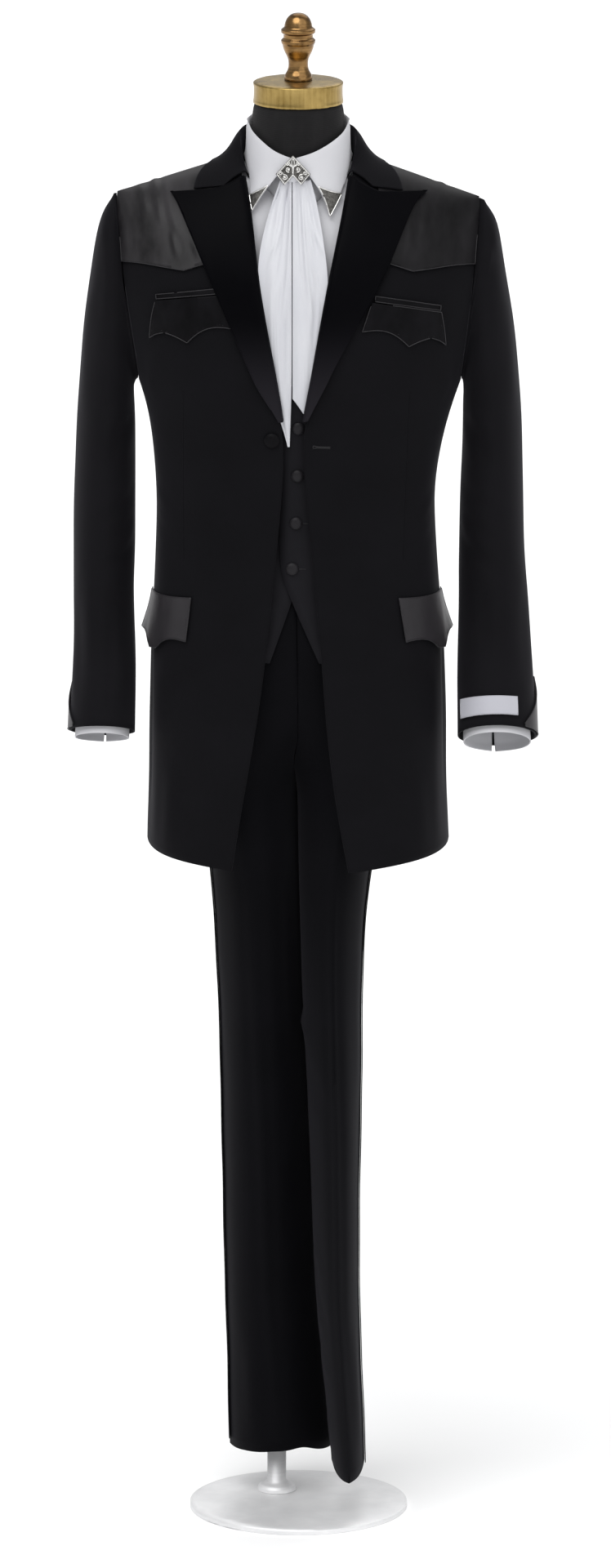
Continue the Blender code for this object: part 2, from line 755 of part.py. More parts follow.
# Share across, turn and height at the top, turn and height at the bottom: flap, then welt
chest_stations = {
    -1: (
        [
            (0.0, 18.5, 1.6010, 18.0, 1.5620), (0.5, 31.0, 1.5978, 34.0, 1.5455),
            (1.0, 45.0, 1.5935, 52.0, 1.5470),
        ],
        [
            (0.0, 18.5, 1.6095, 18.5, 1.6030), (0.5, 31.0, 1.6065, 31.0, 1.6000),
            (1.0, 44.5, 1.6025, 44.5, 1.5960),
        ],
    ),
    1: (
        [
            (0.0, 19.6, 1.5912, 17.2, 1.5590), (0.5, 31.0, 1.5860, 33.0, 1.5415),
            (1.0, 45.0, 1.5785, 50.5, 1.5395),
        ],
        [
            (0.0, 20.6, 1.5992, 20.6, 1.5927), (0.5, 31.0, 1.5945, 31.0, 1.5880),
            (1.0, 44.5, 1.5875, 44.5, 1.5810),
        ],
    ),
}


def chest_pocket(side):
    # The welt is a narrow strip just above the flap's top edge
    end = "right" if side < 0 else "left"
    flap, welt = chest_stations[side]
    scalloped_flap("chest_flap_" + end, side, flap, 0.0088, 0.0, 0.0013, 0.0006, 8, 3)
    scalloped_flap("chest_welt_" + end, side, welt, 0.0, 0.0, 0.0011, 0.0006, 6, 1)


def hip_flap(side):
    end = "right" if side < 0 else "left"
    shift = 0.0 if side < 0 else 1.6
    stations = [
        (0.0, 41.3 - shift, 1.2190, 43.6 - shift, 1.1625),
        (0.58, 70.0, 1.2130, 70.5, 1.1375),
        (1.0, 93.0, 1.2090, 97.0, 1.1550),
    ]
    scalloped_flap("hip_flap_" + end, side, stations, 0.0110, 0.0105, 0.0014, 0.0008, 8, 3)


def covered_button(name, x, z, radius, height, out, finish):
    # A domed disc on the cloth, turned to face along the body's normal there
    point, normal = body_spot(*body_place(x, z), out)
    profile = [
        (0.0, height), (radius * 0.55, height * 0.90), (radius * 0.86, height * 0.62),
        (radius, height * 0.30), (radius * 0.92, 0.0), (0.0, 0.0),
    ]
    thing = turned(name, profile, 14, finish)
    thing.location = point
    thing.rotation_euler = normal.to_track_quat("Z", "Y").to_euler()


def cuff_inset(side):
    # Pointed satin round the back of the cuff: share round, height up the sleeve in rings
    name = "cuff_inset_right" if side < 0 else "cuff_inset_left"
    starts, ends = (146, 268) if side < 0 else (132, 262)
    rises = [(0.0, 0.06), (0.30, 0.55), (0.55, 1.10), (0.80, 0.60), (1.0, 0.12)]
    columns, rows = 8, 3
    spots = []
    for r in range(rows + 1):
        row = []
        for c in range(columns + 1):
            share = c / columns
            rise = straight_reading(rises, share)[0]
            ring = last_ring - 0.02 - rise * r / rows
            around = radians(blend(starts, ends, share))
            row.append(sleeve_spot(side, ring, around, 0.0012 + satin_cloth))
        spots.append(row)
    wall_of_spots(name, spots, satin_cloth, "satin")


def sleeve_label():
    columns, rows = 5, 1
    spots = []
    for r in range(rows + 1):
        ring = blend(12.81, 12.48, r / rows)
        row = [
            sleeve_spot(1, ring, radians(blend(30, 120, c / columns)), 0.0024)
            for c in range(columns + 1)
        ]
        spots.append(row)
    wall_of_spots("sleeve_label", spots, 0.0010, "label_cloth")


# Vest

vest_armhole_extra = 9.0
# Height and x of each front's edge, from the point up to the shoulder
vest_edges = {
    1: [
        (1.138, 0.0270), (1.200, -0.0010), (1.256, -0.0240), (1.330, -0.0240), (1.460, -0.0240),
        (1.520, 0.0050), (1.580, 0.0280), (1.660, 0.0520), (1.752, 0.0760),
    ],
    -1: [
        (1.138, -0.0370), (1.201, -0.0140), (1.256, 0.0050), (1.330, 0.0050), (1.450, 0.0050),
        (1.520, -0.0220), (1.580, -0.0420), (1.660, -0.0620), (1.752, -0.0770),
    ],
}
vest_rows = [1.1385, 1.170, 1.201, 1.230, 1.256, 1.300, 1.360, 1.420, 1.460]
vest_neckline = 0.0760


def vest_front(side):
    name = "vest_front_right" if side < 0 else "vest_front_left"
    depths = vest_depth if side > 0 else under_vest_depth

    def edge_turn(level):
        height = height_of(level)
        return turn_at(straight_reading(vest_edges[side], height)[0], height)

    levels = levels_from(vest_rows + chest_rows[:4] + chest_rows[5:])
    front_panel(name, side, edge_turn, levels, depths, vest_armhole_extra, vest_neckline, 6,
                vest_cloth, "wool", vest_side_depth)


def vest_back():
    levels = levels_from(vest_rows[::2] + chest_rows[1::2], vest_neckline)
    depths = (vest_depth[0], vest_side_depth)
    whole_panel("vest_back", True, levels, depths, vest_armhole_extra, vest_neckline, 4,
                vest_cloth, "wool")


def vest_buttons():
    places = [(0.0000, 1.4375, -0.0003), (-0.0010, 1.3765, 0.0004), (-0.0030, 1.3165, 0.0001),
              (-0.0080, 1.2590, 0.0)]
    for index, (x, z, off) in enumerate(places):
        turn, level = body_place(x, z)
        out = -layer_depth(vest_depth, level) + off
        covered_button("vest_button_" + str(index + 1), x, z, 0.0082, 0.0042, out, "satin")


# Shirt and neckwear

shirt_rows = [1.224, 1.300, 1.380, 1.460]
shirt_neckline = 0.0665
shirt_columns = 4
shirt_armhole_extra = 7.0
shirt_stand_radius = 0.0626
leaf_radius = 0.0672
# Turn round the neck, fold height, edge x and height of each collar leaf, bow of the leaf
leaf_sections = {
    -1: [
        (3, 1.7735, 0.0575, 1.7110, 0.0040), (22, 1.7800, 0.0600, 1.7280, 0.0015),
        (44, 1.7920, 0.0600, 1.7430, 0.0), (66, 1.8030, 0.0645, 1.7560, 0.0),
        (92, 1.8120, 0.0690, 1.7670, 0.0), (120, 1.8145, 0.0480, 1.7680, 0.0),
        (150, 1.8150, 0.0240, 1.7680, 0.0), (180, 1.8150, 0.0000, 1.7680, 0.0),
    ],
    1: [
        (3, 1.7735, 0.0390, 1.7040, 0.0090), (22, 1.7800, 0.0510, 1.7250, 0.0040),
        (44, 1.7920, 0.0590, 1.7430, 0.0), (66, 1.8030, 0.0645, 1.7560, 0.0),
        (92, 1.8120, 0.0690, 1.7670, 0.0), (120, 1.8145, 0.0480, 1.7680, 0.0),
        (150, 1.8150, 0.0240, 1.7680, 0.0), (180, 1.8150, 0.0000, 1.7680, 0.0),
    ],
}
collar_button_x = -0.0060     # the collar closes a little to the wearer's right
collar_turn = radians(-5.3)
leaf_out = 0.0046


def shirt_body():
    levels = levels_from(shirt_rows + chest_rows[1::2], 0.0, 0.988)
    whole_panel("shirt_front", False, levels, shirt_depth, shirt_armhole_extra, shirt_neckline,
                shirt_columns, shirt_cloth, "shirting")
    levels = levels_from(shirt_rows + chest_rows[1::2], shirt_neckline, 0.988)
    whole_panel("shirt_back", True, levels, shirt_depth, shirt_armhole_extra, shirt_neckline,
                shirt_columns, shirt_cloth, "shirting")


def shirt_surface(x, z, out):
    turn, level = body_place(x, z)
    return body_spot(turn, level, out - layer_depth(shirt_depth, level))[0]


def leaf_point(side, around, share):
    # The falling leaf: share 0 at the fold, 1 at its edge
    fold, edge_x, edge_z, bow = reading(leaf_sections[side], around)
    turn = radians(around)
    if around < 90:
        on_chest = shirt_surface(side * edge_x, edge_z, leaf_out)
        on_neck = Vector((side * edge_x, -leaf_radius * cos(turn), edge_z))
        edge = on_chest.lerp(on_neck, ease(38, 70, around))
    else:
        edge = neck_ring(side, around, leaf_radius + 0.0018, edge_z)
    point = neck_ring(side, around, leaf_radius, fold - 0.0035).lerp(edge, share)
    point.x += side * bow * sin(pi * share)
    return point


def neck_ring(side, around, radius, z):
    # A place round the neck, turned in front to where the collar closes
    turn = side * radians(around) + collar_turn * (1 - ease(5, 60, around))
    return Vector((radius * sin(turn), -radius * cos(turn), z))


def leaf_row(side, section):
    # Stand, fold and falling leaf of the shirt's collar at one turn round the neck
    around, fold = section[:2]
    stand = [
        neck_ring(side, around, shirt_stand_radius, shirt_stand_foot(around)),
        neck_ring(side, around, shirt_stand_radius, fold - 0.0030),
        neck_ring(side, around, shirt_stand_radius + 0.0022, fold),
    ]
    return stand + [leaf_point(side, around, share) for share in (0.0, 0.35, 0.7, 1.0)]


def shirt_stand_foot(around):
    return 1.7270 + 0.0310 * ease(10, 88, around) - 0.0180 * ease(96, 165, around)


def shirt_collar():
    sections = []
    for side in (-1, 1):
        table = leaf_sections[side]
        half = [leaf_row(side, section) for section in finer(table[:4], 2) + table[4:]]
        sections += half if side < 0 else list(reversed(half))[1:]
    wall_of_points("shirt_collar", sections, shirt_cloth, "shirting", inward=-1)


def shirt_sleeve(side):
    # A plain sleeve inside the coat's, and its cuff, which is open at the back
    end = "right" if side < 0 else "left"
    sleeve_rows = [(2, 0.0026), (4, 0.0040), (6, 0.0070), (8, 0.0100), (10, 0.0100), (12, 0.0072)]
    spots = []
    for ring, depth in sleeve_rows:
        turns = [4 * pi * c / sleeve_sides for c in range(sleeve_sides // 2)]
        spots.append([sleeve_spot(side, ring, turn, -depth) for turn in turns])
    wall_of_spots("shirt_sleeve_" + end, spots, shirt_cloth, "shirting", closed=True)
    spots = []
    for ring in (12.007, float(last_ring), last_ring + cuff_show):
        row = []
        for c in range(15):
            around = radians(cuff_slit[0] + (360 - cuff_slit[1]) * c / 14)
            row.append(cuff_spot(side, ring, around))
        spots.append(row)
    wall_of_spots("shirt_cuff_" + end, spots, 0.0014, "shirting")


cuff_show = 0.20           # of a sleeve ring, how far the cuff shows
cuff_slit = (282.0, 14.0)  # where the cuff's slit ends, and its width in degrees
cuff_depth = 0.0070


def cuff_spot(side, ring, around):
    # Past the sleeve's hem the cuff runs straight on
    held = min(ring, float(last_ring))
    point, normal = sleeve_spot(side, held, around, -cuff_depth)
    if ring > held:
        before = sleeve_spot(side, held - 0.3, around, -cuff_depth)[0]
        point = point + (point - before) / 0.3 * (ring - held)
    return point, normal


# Height, outer x and centre x of each cravat tail, height over the body, depth of its folds
cravat_rows = {
    -1: [
        (1.7440, -0.0225, -0.0080, 0.0030, 0.0012), (1.7250, -0.0300, -0.0080, 0.0010, 0.0018),
        (1.7000, -0.0400, -0.0080, -0.0020, 0.0022), (1.6600, -0.0500, -0.0080, -0.0056, 0.0018),
        (1.6200, -0.0520, -0.0080, -0.0062, 0.0020), (1.5600, -0.0480, -0.0080, -0.0060, 0.0022),
        (1.5000, -0.0390, -0.0082, -0.0066, 0.0014), (1.4600, -0.0270, -0.0092, -0.0070, 0.0010),
        (1.4300, -0.0175, -0.0102, -0.0072, 0.0004), (1.4150, -0.0135, -0.0108, -0.0072, 0.0),
    ],
    1: [
        (1.7440, 0.0155, -0.0073, 0.0030, 0.0012), (1.7250, 0.0215, -0.0073, 0.0010, 0.0018),
        (1.7000, 0.0275, -0.0073, -0.0020, 0.0022), (1.6600, 0.0345, -0.0073, -0.0056, 0.0018),
        (1.6200, 0.0385, -0.0073, -0.0064, 0.0018), (1.5600, 0.0360, -0.0073, -0.0060, 0.0022),
        (1.5000, 0.0300, -0.0073, -0.0066, 0.0014), (1.4780, 0.0280, -0.0073, -0.0072, 0.0008),
    ],
}
cravat_cloth = 0.0015
tip_metal = 0.0012
cravat_front = -0.0700     # at the throat the tails lie this far forward
folds_across = {-1: 1.9, 1: 2.1}
left_tail_slant = 0.050


def cravat_tail(side):
    name = "cravat_tail_right" if side < 0 else "cravat_tail_left"
    table = [(index, *row) for index, row in enumerate(cravat_rows[side])]
    columns, rows = 7, len(table) + 1
    points = []
    for r in range(rows + 1):
        low = r / rows
        z, outer_x, centre_x, out, fold = reading(table, low * (len(table) - 1))
        row = []
        for c in range(columns + 1):
            share = c / columns
            x = blend(centre_x, outer_x, share)
            drop = left_tail_slant * share * low ** 6 if side > 0 else 0.0
            wave = fold * sin(2 * pi * (folds_across[side] * share + 0.15 + 0.2 * low))
            turn, level = body_place(x, z - drop)
            point = body_spot(turn, level, out + wave)[0]
            point.y = min(point.y, cravat_front - wave)
            row.append(point)
        points.append(row)
    wall_of_points(name, points, cravat_cloth, "shirting", inward=side)


brooch_metal = 0.0026


def brooch():
    # A chevron of two lobes under a point, leaning back onto the collar
    outline = [(0.0, 0.0195), (0.0222, -0.0040), (0.0110, -0.0175), (0.0, -0.0050),
               (-0.0110, -0.0175), (-0.0217, -0.0040)]
    middle = Vector((collar_button_x - 0.0006, -0.0722, 1.7585))
    lean = 0.10
    corners = [middle + Vector((x, z * lean, z)) for x, z in outline]
    flat_plate("brooch", corners, brooch_metal, "silver")


def collar_tip(side):
    # Metal over the leaf's point: a fan from the point to its front and lower edges
    name = "collar_tip_right" if side < 0 else "collar_tip_left"
    up_front, along_edge = (0.50, 19.0) if side < 0 else (0.54, 24.0)
    points = []
    for reach in (0.05, 0.4, 0.75, 1.0):
        row = []
        for c in range(5):
            swing = c / 4
            around = 3 + along_edge * reach * swing
            share = 1 - up_front * reach * (1 - swing)
            point = leaf_point(side, around, share)
            across = leaf_point(side, around + 1, share) - point
            down = leaf_point(side, around, share + 0.01) - point
            normal = across.cross(down).normalized()
            if normal.y > 0:
                normal = -normal
            row.append((point + normal * (tip_metal + 0.0006), normal))
        points.append(row)
    wall_of_spots(name, points, tip_metal, "silver")


# Trousers

def leg_point(side, z, share):
    # Share runs round one leg: 0 is the outseam, 1 the inseam by the front, -1 by the back
    outer, inner, front, back = reading(leg_sections[side], z)
    ahead = pi * abs(share)
    x = blend(outer, inner, (1 - cos(ahead)) / 2)
    middle, depth = (front + back) / 2, (back - front) / 2
    leg = Vector((x, middle - depth * sin(ahead) * (1 if share >= 0 else -1), z))
    turn = side * (pi / 2) * (1 - share)
    trunk = body_spot(turn, level_of(z), -trouser_depth)[0]
    trunk.z = z
    return leg.lerp(trunk, ease(trunk_below, trunk_above, z))


def leg_spot(side, z, share, out=0.0):
    step = 0.002
    up = leg_point(side, z + step, share) - leg_point(side, z - step, share)
    across = leg_point(side, z, share + step) - leg_point(side, z, share - step)
    normal = up.cross(across).normalized() * side
    return leg_point(side, z, share) + normal * out, normal


def leg_height(side, row):
    return blend(leg_sections[side][0][0], trouser_top, row)


def leg_panel(side, behind):
    end = "right" if side < 0 else "left"
    name = ("trouser_back_" if behind else "trouser_front_") + end
    columns = 6
    spots = []
    for row in leg_rows:
        z = leg_height(side, row)
        line = []
        for c in range(columns + 1):
            share = blend(0.0022, 0.9972, c / columns)
            line.append(leg_spot(side, z, -share if behind else share))
        spots.append(line)
    wall_of_spots(name, spots, trouser_cloth, "wool")


def side_stripe(side):
    name = "trouser_stripe_right" if side < 0 else "trouser_stripe_left"
    reach = 0.055 if side < 0 else 0.062
    spots = []
    for row in leg_rows[:-1]:
        z = min(leg_height(side, row) + 0.0005, 1.1300)
        spots.append([leg_spot(side, z, share, 0.0018) for share in (-reach, 0.0, reach)])
    wall_of_spots(name, spots, 0.0010, "satin")


def waistband():
    spots = []
    for z in (trouser_top + 0.0010, waistband_top):
        row = []
        for c in range(28):
            point, normal = body_spot(2 * pi * c / 28, level_of(z), -waistband_depth)
            row.append((Vector((point.x, point.y, z)), normal))
        spots.append(row)
    wall_of_spots("waistband", spots, trouser_cloth, "wool", closed=True)


# Dress form

def form_body():
    # Rings up the torso, then over the shoulders into the neck, and the rings of the neck
    columns = 20
    turns = [2 * pi * (c + 0.5) / columns for c in range(columns)]
    rings = []
    for rise, scale in ((0.0, 0.80), (0.004, 0.91), (0.012, 0.975), (0.030, 1.0)):
        rings.append([form_point(turn, form_bottom + rise, scale) for turn in turns])
    for z in (1.16, 1.225, 1.30, 1.40, 1.48, 1.56, 1.60):
        rings.append([form_point(turn, z, 1.0) for turn in turns])
    for share in (0.15, 0.30, 0.45, 0.56):
        rings.append([form_point(turn, shoulder_level(share), 1.0) for turn in turns])
    rim = rings[-1]
    foot = [Vector((form_neck_radius * sin(turn), -form_neck_radius * cos(turn), 0.0))
            for turn in turns]
    for share in (0.12, 0.30, 0.50, 0.70, 0.88, 1.0):
        ring = []
        for outer, inner in zip(rim, foot):
            place = outer.lerp(inner, share)
            spot, normal = body_spot(*surface_under(place.x, place.y))
            drop = (form_depth[0] + 0.0015) / max(normal.z, 0.30)
            ring.append(Vector((place.x, place.y, spot.z - drop)))
        rings.append(ring)
    for radius, z in ((form_neck_radius, 1.7900), (0.0594, 1.8080), (0.0582, 1.8230),
                      (0.0566, form_neck_top - 0.0030), (0.0545, form_neck_top)):
        rings.append([Vector((radius * sin(turn), -radius * cos(turn), z)) for turn in turns])
    work = bmesh.new()
    loops = [[work.verts.new(point) for point in ring] for ring in rings]
    for low, high in zip(loops, loops[1:]):
        for c in range(columns):
            n = (c + 1) % columns
            work.faces.new((low[c], low[n], high[n], high[c]))
    work.faces.new(loops[0])
    work.faces.new(loops[-1])
    bmesh.ops.recalc_face_normals(work, faces=work.faces)
    mesh = bpy.data.meshes.new("form")
    work.to_mesh(mesh)
    work.free()
    add_object("form", mesh, "jersey")


def form_point(turn, level, scale):
    point = body_spot(turn, level, -layer_depth(form_depth, level))[0]
    z = level if level < shoulder_base else point.z
    return Vector((point.x * scale, point.y * scale, z))


def form_fittings():
    top = form_neck_top + face_gap
    cap_profile = [
        (0.0, top + 0.0285), (0.0540, top + 0.0277), (0.0572, top + 0.0250),
        (0.0572, top + 0.0225), (0.0562, top + 0.0210), (0.0565, top + 0.0045),
        (0.0574, top + 0.0030), (0.0572, top), (0.0, top),
    ]
    turned("neck_cap", cap_profile, 26, "brass")
    seat = top + 0.0285 + face_gap
    # Radius and height over the cap, from the finial's dome down to its collar
    finial_steps = [
        (0.0, 0.0850), (0.0080, 0.0836), (0.0136, 0.0795), (0.0170, 0.0735), (0.0184, 0.0665),
        (0.0222, 0.0635), (0.0222, 0.0600), (0.0192, 0.0575), (0.0190, 0.0532), (0.0222, 0.0502),
        (0.0222, 0.0468), (0.0203, 0.0445), (0.0197, 0.0405), (0.0177, 0.0350), (0.0141, 0.0288),
        (0.0126, 0.0235), (0.0125, 0.0160), (0.0146, 0.0100), (0.0178, 0.0060), (0.0180, 0.0),
        (0.0, 0.0),
    ]
    turned("finial", [(r, seat + z) for r, z in finial_steps], 16, "antique_brass")
    base_profile = [
        (0.0, base_thickness), (base_radius - 0.004, base_thickness),
        (base_radius, base_thickness - 0.003), (base_radius, 0.0), (0.0, 0.0),
    ]
    turned("base", base_profile, 48, "steel")
    foot, head = base_thickness + face_gap, form_bottom - face_gap
    pole_profile = [
        (0.0, head), (pole_radius, head), (pole_radius, foot + 0.012),
        (0.0240, foot + 0.006), (0.0260, foot), (0.0, foot),
    ]
    turned("pole", pole_profile, 16, "steel", centre=(pole_x, pole_y))


clear_scene()
bpy.context.scene.collection.children.link(bpy.data.collections.new(collection_name))
for side in (-1, 1):
    coat_front(side)
    coat_back(side)
    coat_sleeve(side)
    lapel(side)
    yoke(side)
    chest_pocket(side)
    hip_flap(side)
    cuff_inset(side)
    vest_front(side)
    shirt_sleeve(side)
    cravat_tail(side)
    collar_tip(side)
    leg_panel(side, False)
    leg_panel(side, True)
    side_stripe(side)
coat_collar()
sleeve_label()
covered_button("coat_button", -0.0330, 1.4250, 0.0102, 0.0052, 0.0005, "satin")
vest_back()
vest_buttons()
shirt_body()
shirt_collar()
brooch()
waistband()
form_body()
form_fittings()
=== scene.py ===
import math

import bmesh
import bpy
import numpy as np
from mathutils import Matrix, Vector
from mathutils.bvhtree import BVHTree


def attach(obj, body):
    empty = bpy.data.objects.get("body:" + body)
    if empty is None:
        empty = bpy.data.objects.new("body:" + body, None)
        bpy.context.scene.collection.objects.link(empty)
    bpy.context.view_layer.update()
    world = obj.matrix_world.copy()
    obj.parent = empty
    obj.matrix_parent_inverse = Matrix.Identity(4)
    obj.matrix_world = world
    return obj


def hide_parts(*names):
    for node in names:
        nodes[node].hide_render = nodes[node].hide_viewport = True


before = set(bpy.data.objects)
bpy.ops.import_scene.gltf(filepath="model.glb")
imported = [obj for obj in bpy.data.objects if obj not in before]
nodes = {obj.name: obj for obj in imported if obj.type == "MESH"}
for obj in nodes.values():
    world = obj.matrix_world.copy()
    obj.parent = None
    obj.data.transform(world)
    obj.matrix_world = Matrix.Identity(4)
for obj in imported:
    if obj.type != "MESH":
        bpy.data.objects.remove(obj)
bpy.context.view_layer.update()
scene = bpy.context.scene
ends = {"right": -1, "left": 1}    # the wearer's sides
finished = {}                      # the cloth pieces by the name of the solid that each stands for


# Camera, floor and light

# What it looks at, its tilt in degrees, its distance, the height that the frame shows
photoView = {"target": (0.0091, 0, 0.9537), "elevation": 13, "distance": 16, "tall": 1.9952, "sensor": 36}


def placeCamera():
    rise = math.radians(photoView["elevation"])
    data = bpy.data.cameras.new("photo_camera")
    data.sensor_width = photoView["sensor"]
    data.lens = photoView["sensor"] * photoView["distance"] / photoView["tall"]
    data.clip_end = 500
    camera = newObject("photo_camera", data)
    back = Vector((0, -math.cos(rise), math.sin(rise))) * photoView["distance"]
    camera.location = Vector(photoView["target"]) + back
    camera.rotation_euler = (math.radians(90) - rise, 0, 0)
    scene.camera = camera


studio = {
    "floorHalf": 150,
    "floorColour": (0.93, 0.93, 0.93),
    "worldColour": (0.985, 0.99, 1),
    "worldStrength": 0.5,
    # Where each light comes from, its strength and how soft it is
    "suns": {
        "key": ((-0.45, -0.8, 1.35), 1.9, 50),
        "fill": ((0.85, -0.95, 0.75), 0.85, 70),
        "back": ((0.3, 1.1, 1.3), 0.75, 60),
    },
}


def makeStudio():
    work = bmesh.new()
    bmesh.ops.create_grid(work, x_segments=2, y_segments=2, size=studio["floorHalf"])
    bmesh.ops.translate(work, verts=work.verts, vec=(0, 0, -0.0003))
    floor = meshObject("floor", work)
    material, tree, shader = newMaterial("studio_floor")
    grain = addNoise(tree, (addNode(tree, "TexCoord"), "Object"), 3, 3, 0.5)
    paler = tuple(c * 1.01 for c in studio["floorColour"])
    tones = addRamp(tree, grain, [(0.3, studio["floorColour"]), (0.7, paler)])
    setInputs(shader, {"Base Color": tones, "Roughness": 0.9, "Specular IOR Level": 0.1})
    floor.data.materials.append(material)
    world = bpy.data.worlds.new("studio_air")
    world.use_nodes = True
    air = {"Color": (*studio["worldColour"], 1), "Strength": studio["worldStrength"]}
    setInputs(world.node_tree.nodes["Background"], air)
    scene.world = world
    for name, (where, strength, softness) in studio["suns"].items():
        data = bpy.data.lights.new(name + "_light", "SUN")
        data.energy = strength
        data.angle = math.radians(softness)
        newObject(name + "_light", data).rotation_euler = Vector(where).to_track_quat("Z", "Y").to_euler()
    scene.view_settings.view_transform = "Standard"


# Finishes

def newMaterial(name):
    material = bpy.data.materials.new(name)
    material.use_nodes = True
    return material, material.node_tree, material.node_tree.nodes["Principled BSDF"]


def setInputs(made, inputs):
    # Each input takes a value, or the output of the node that is given
    for key, value in inputs.items():
        if isinstance(value, tuple) and isinstance(value[0], bpy.types.Node):
            made.id_data.links.new(value[0].outputs[value[1]], made.inputs[key])
        else:
            made.inputs[key].default_value = value


def addNode(tree, kind, inputs={}, **settings):
    made = tree.nodes.new("ShaderNode" + kind)
    for key, value in settings.items():
        setattr(made, key, value)
    setInputs(made, inputs)
    return made


def addRamp(tree, source, stops):
    ramp = addNode(tree, "ValToRGB", {"Fac": source})
    for element, (place, colour) in zip(ramp.color_ramp.elements, stops):
        element.position = place
        element.color = (*colour, 1)
    return ramp, "Color"


def addMath(tree, operation, first, second):
    return addNode(tree, "Math", {0: first, 1: second}, operation=operation), "Value"


def addBlend(tree, first, second, share):
    rest = addMath(tree, "MULTIPLY", first, 1 - share)
    return addMath(tree, "ADD", rest, addMath(tree, "MULTIPLY", second, share))


def addNoise(tree, place, scale, detail, roughness):
    inputs = {"Vector": place, "Scale": scale, "Detail": detail, "Roughness": roughness}
    return addNode(tree, "TexNoise", inputs), "Fac"


def addRoughAndBump(tree, shader, look, tone, relief, depth):
    low, high = look["rough"]
    span = {"From Min": 0.3, "From Max": 0.7, "To Min": low, "To Max": high}
    rough = addNode(tree, "MapRange", {"Value": tone, **span})
    bump = addNode(tree, "Bump", {"Height": relief, "Strength": look["bump"], "Distance": depth})
    setInputs(shader, {"Roughness": (rough, "Result"), "Normal": (bump, "Normal")})


def clothFinish(name, look):
    # Threads from one or two wave patterns, nap from fine noise, and slow changes of tone
    material, tree, shader = newMaterial(name)
    place = addNode(tree, "TexCoord")
    spot = (place, look.get("coordinates", "UV"))
    weave = None
    for turn, period in look["threads"]:
        spin = addNode(tree, "Mapping", {"Vector": spot, "Rotation": (0, 0, math.radians(turn))})
        wave = addNode(tree, "TexWave", {
            "Vector": (spin, "Vector"), "Scale": 0.314 / period, "Distortion": 0.6, "Detail": 1,
            "Detail Scale": 2,
        }), "Fac"
        weave = addMath(tree, "MULTIPLY", weave, wave) if weave else wave
    nap = addNoise(tree, spot, 900, 3, 0.7)
    stretch = addNode(tree, "Mapping", {"Vector": spot, "Scale": look.get("stretch", (1, 1, 1))})
    slow = addNoise(tree, (stretch, "Vector"), look.get("slow", 14), 4, 0.6)
    fine = addBlend(tree, weave, nap, 0.5)
    mixed = addBlend(tree, fine, slow, look.get("slowShare", 0.45))
    low, high = look.get("spread", (0.25, 0.72))
    colour = addRamp(tree, mixed, [(low, look["dark"]), (high, look["light"])])
    # Painted reflection: the colour turns paler towards the piece's lower end, standing in for the bright floor
    # that the lapel's lower part mirrors
    if "paintedReflection" in look:    # the cloth is paler towards its lower end
        top, foot, share, reflectionTone = look["paintedReflection"]
        rise = addNode(tree, "SeparateXYZ", {"Vector": (place, "Object")})
        paintedReflection = addNode(
            tree, "MapRange", {"Value": (rise, "Z"), "From Min": top, "From Max": foot, "To Max": share},
            interpolation_type="SMOOTHSTEP",
        )
        inputs = {"Factor": (paintedReflection, "Result"), 6: colour, 7: (*reflectionTone, 1)}
        colour = (addNode(tree, "Mix", inputs, data_type="RGBA"), 2)
    setInputs(shader, {
        "Base Color": colour, "Specular IOR Level": look["specular"], "Sheen Weight": look.get("sheen", 0.15),
        "Sheen Roughness": 0.45, "Sheen Tint": (*look.get("sheenTint", (0.5, 0.5, 0.55)), 1),
    })
    addRoughAndBump(tree, shader, look, mixed, fine, 0.0003)
    return material


def metalFinish(name, look):
    # Fine scratches along one direction, worn bright places and darker tarnish
    material, tree, shader = newMaterial(name)
    place = (addNode(tree, "TexCoord"), "Object")
    stretch = addNode(tree, "Mapping", {"Vector": place, "Scale": look.get("stretch", (1, 1, 1))})
    scratch = addNoise(tree, (stretch, "Vector"), look["scratch"], 4, 0.6)
    mixed = addBlend(tree, scratch, addNoise(tree, place, look["patches"], 5, 0.62), 0.55)
    tones = addRamp(tree, mixed, [(0.34, look["dark"]), (0.62, look["light"])])
    setInputs(shader, {"Base Color": tones, "Metallic": look.get("metal", 1)})
    addRoughAndBump(tree, shader, look, mixed, scratch, 0.0002)
    return material


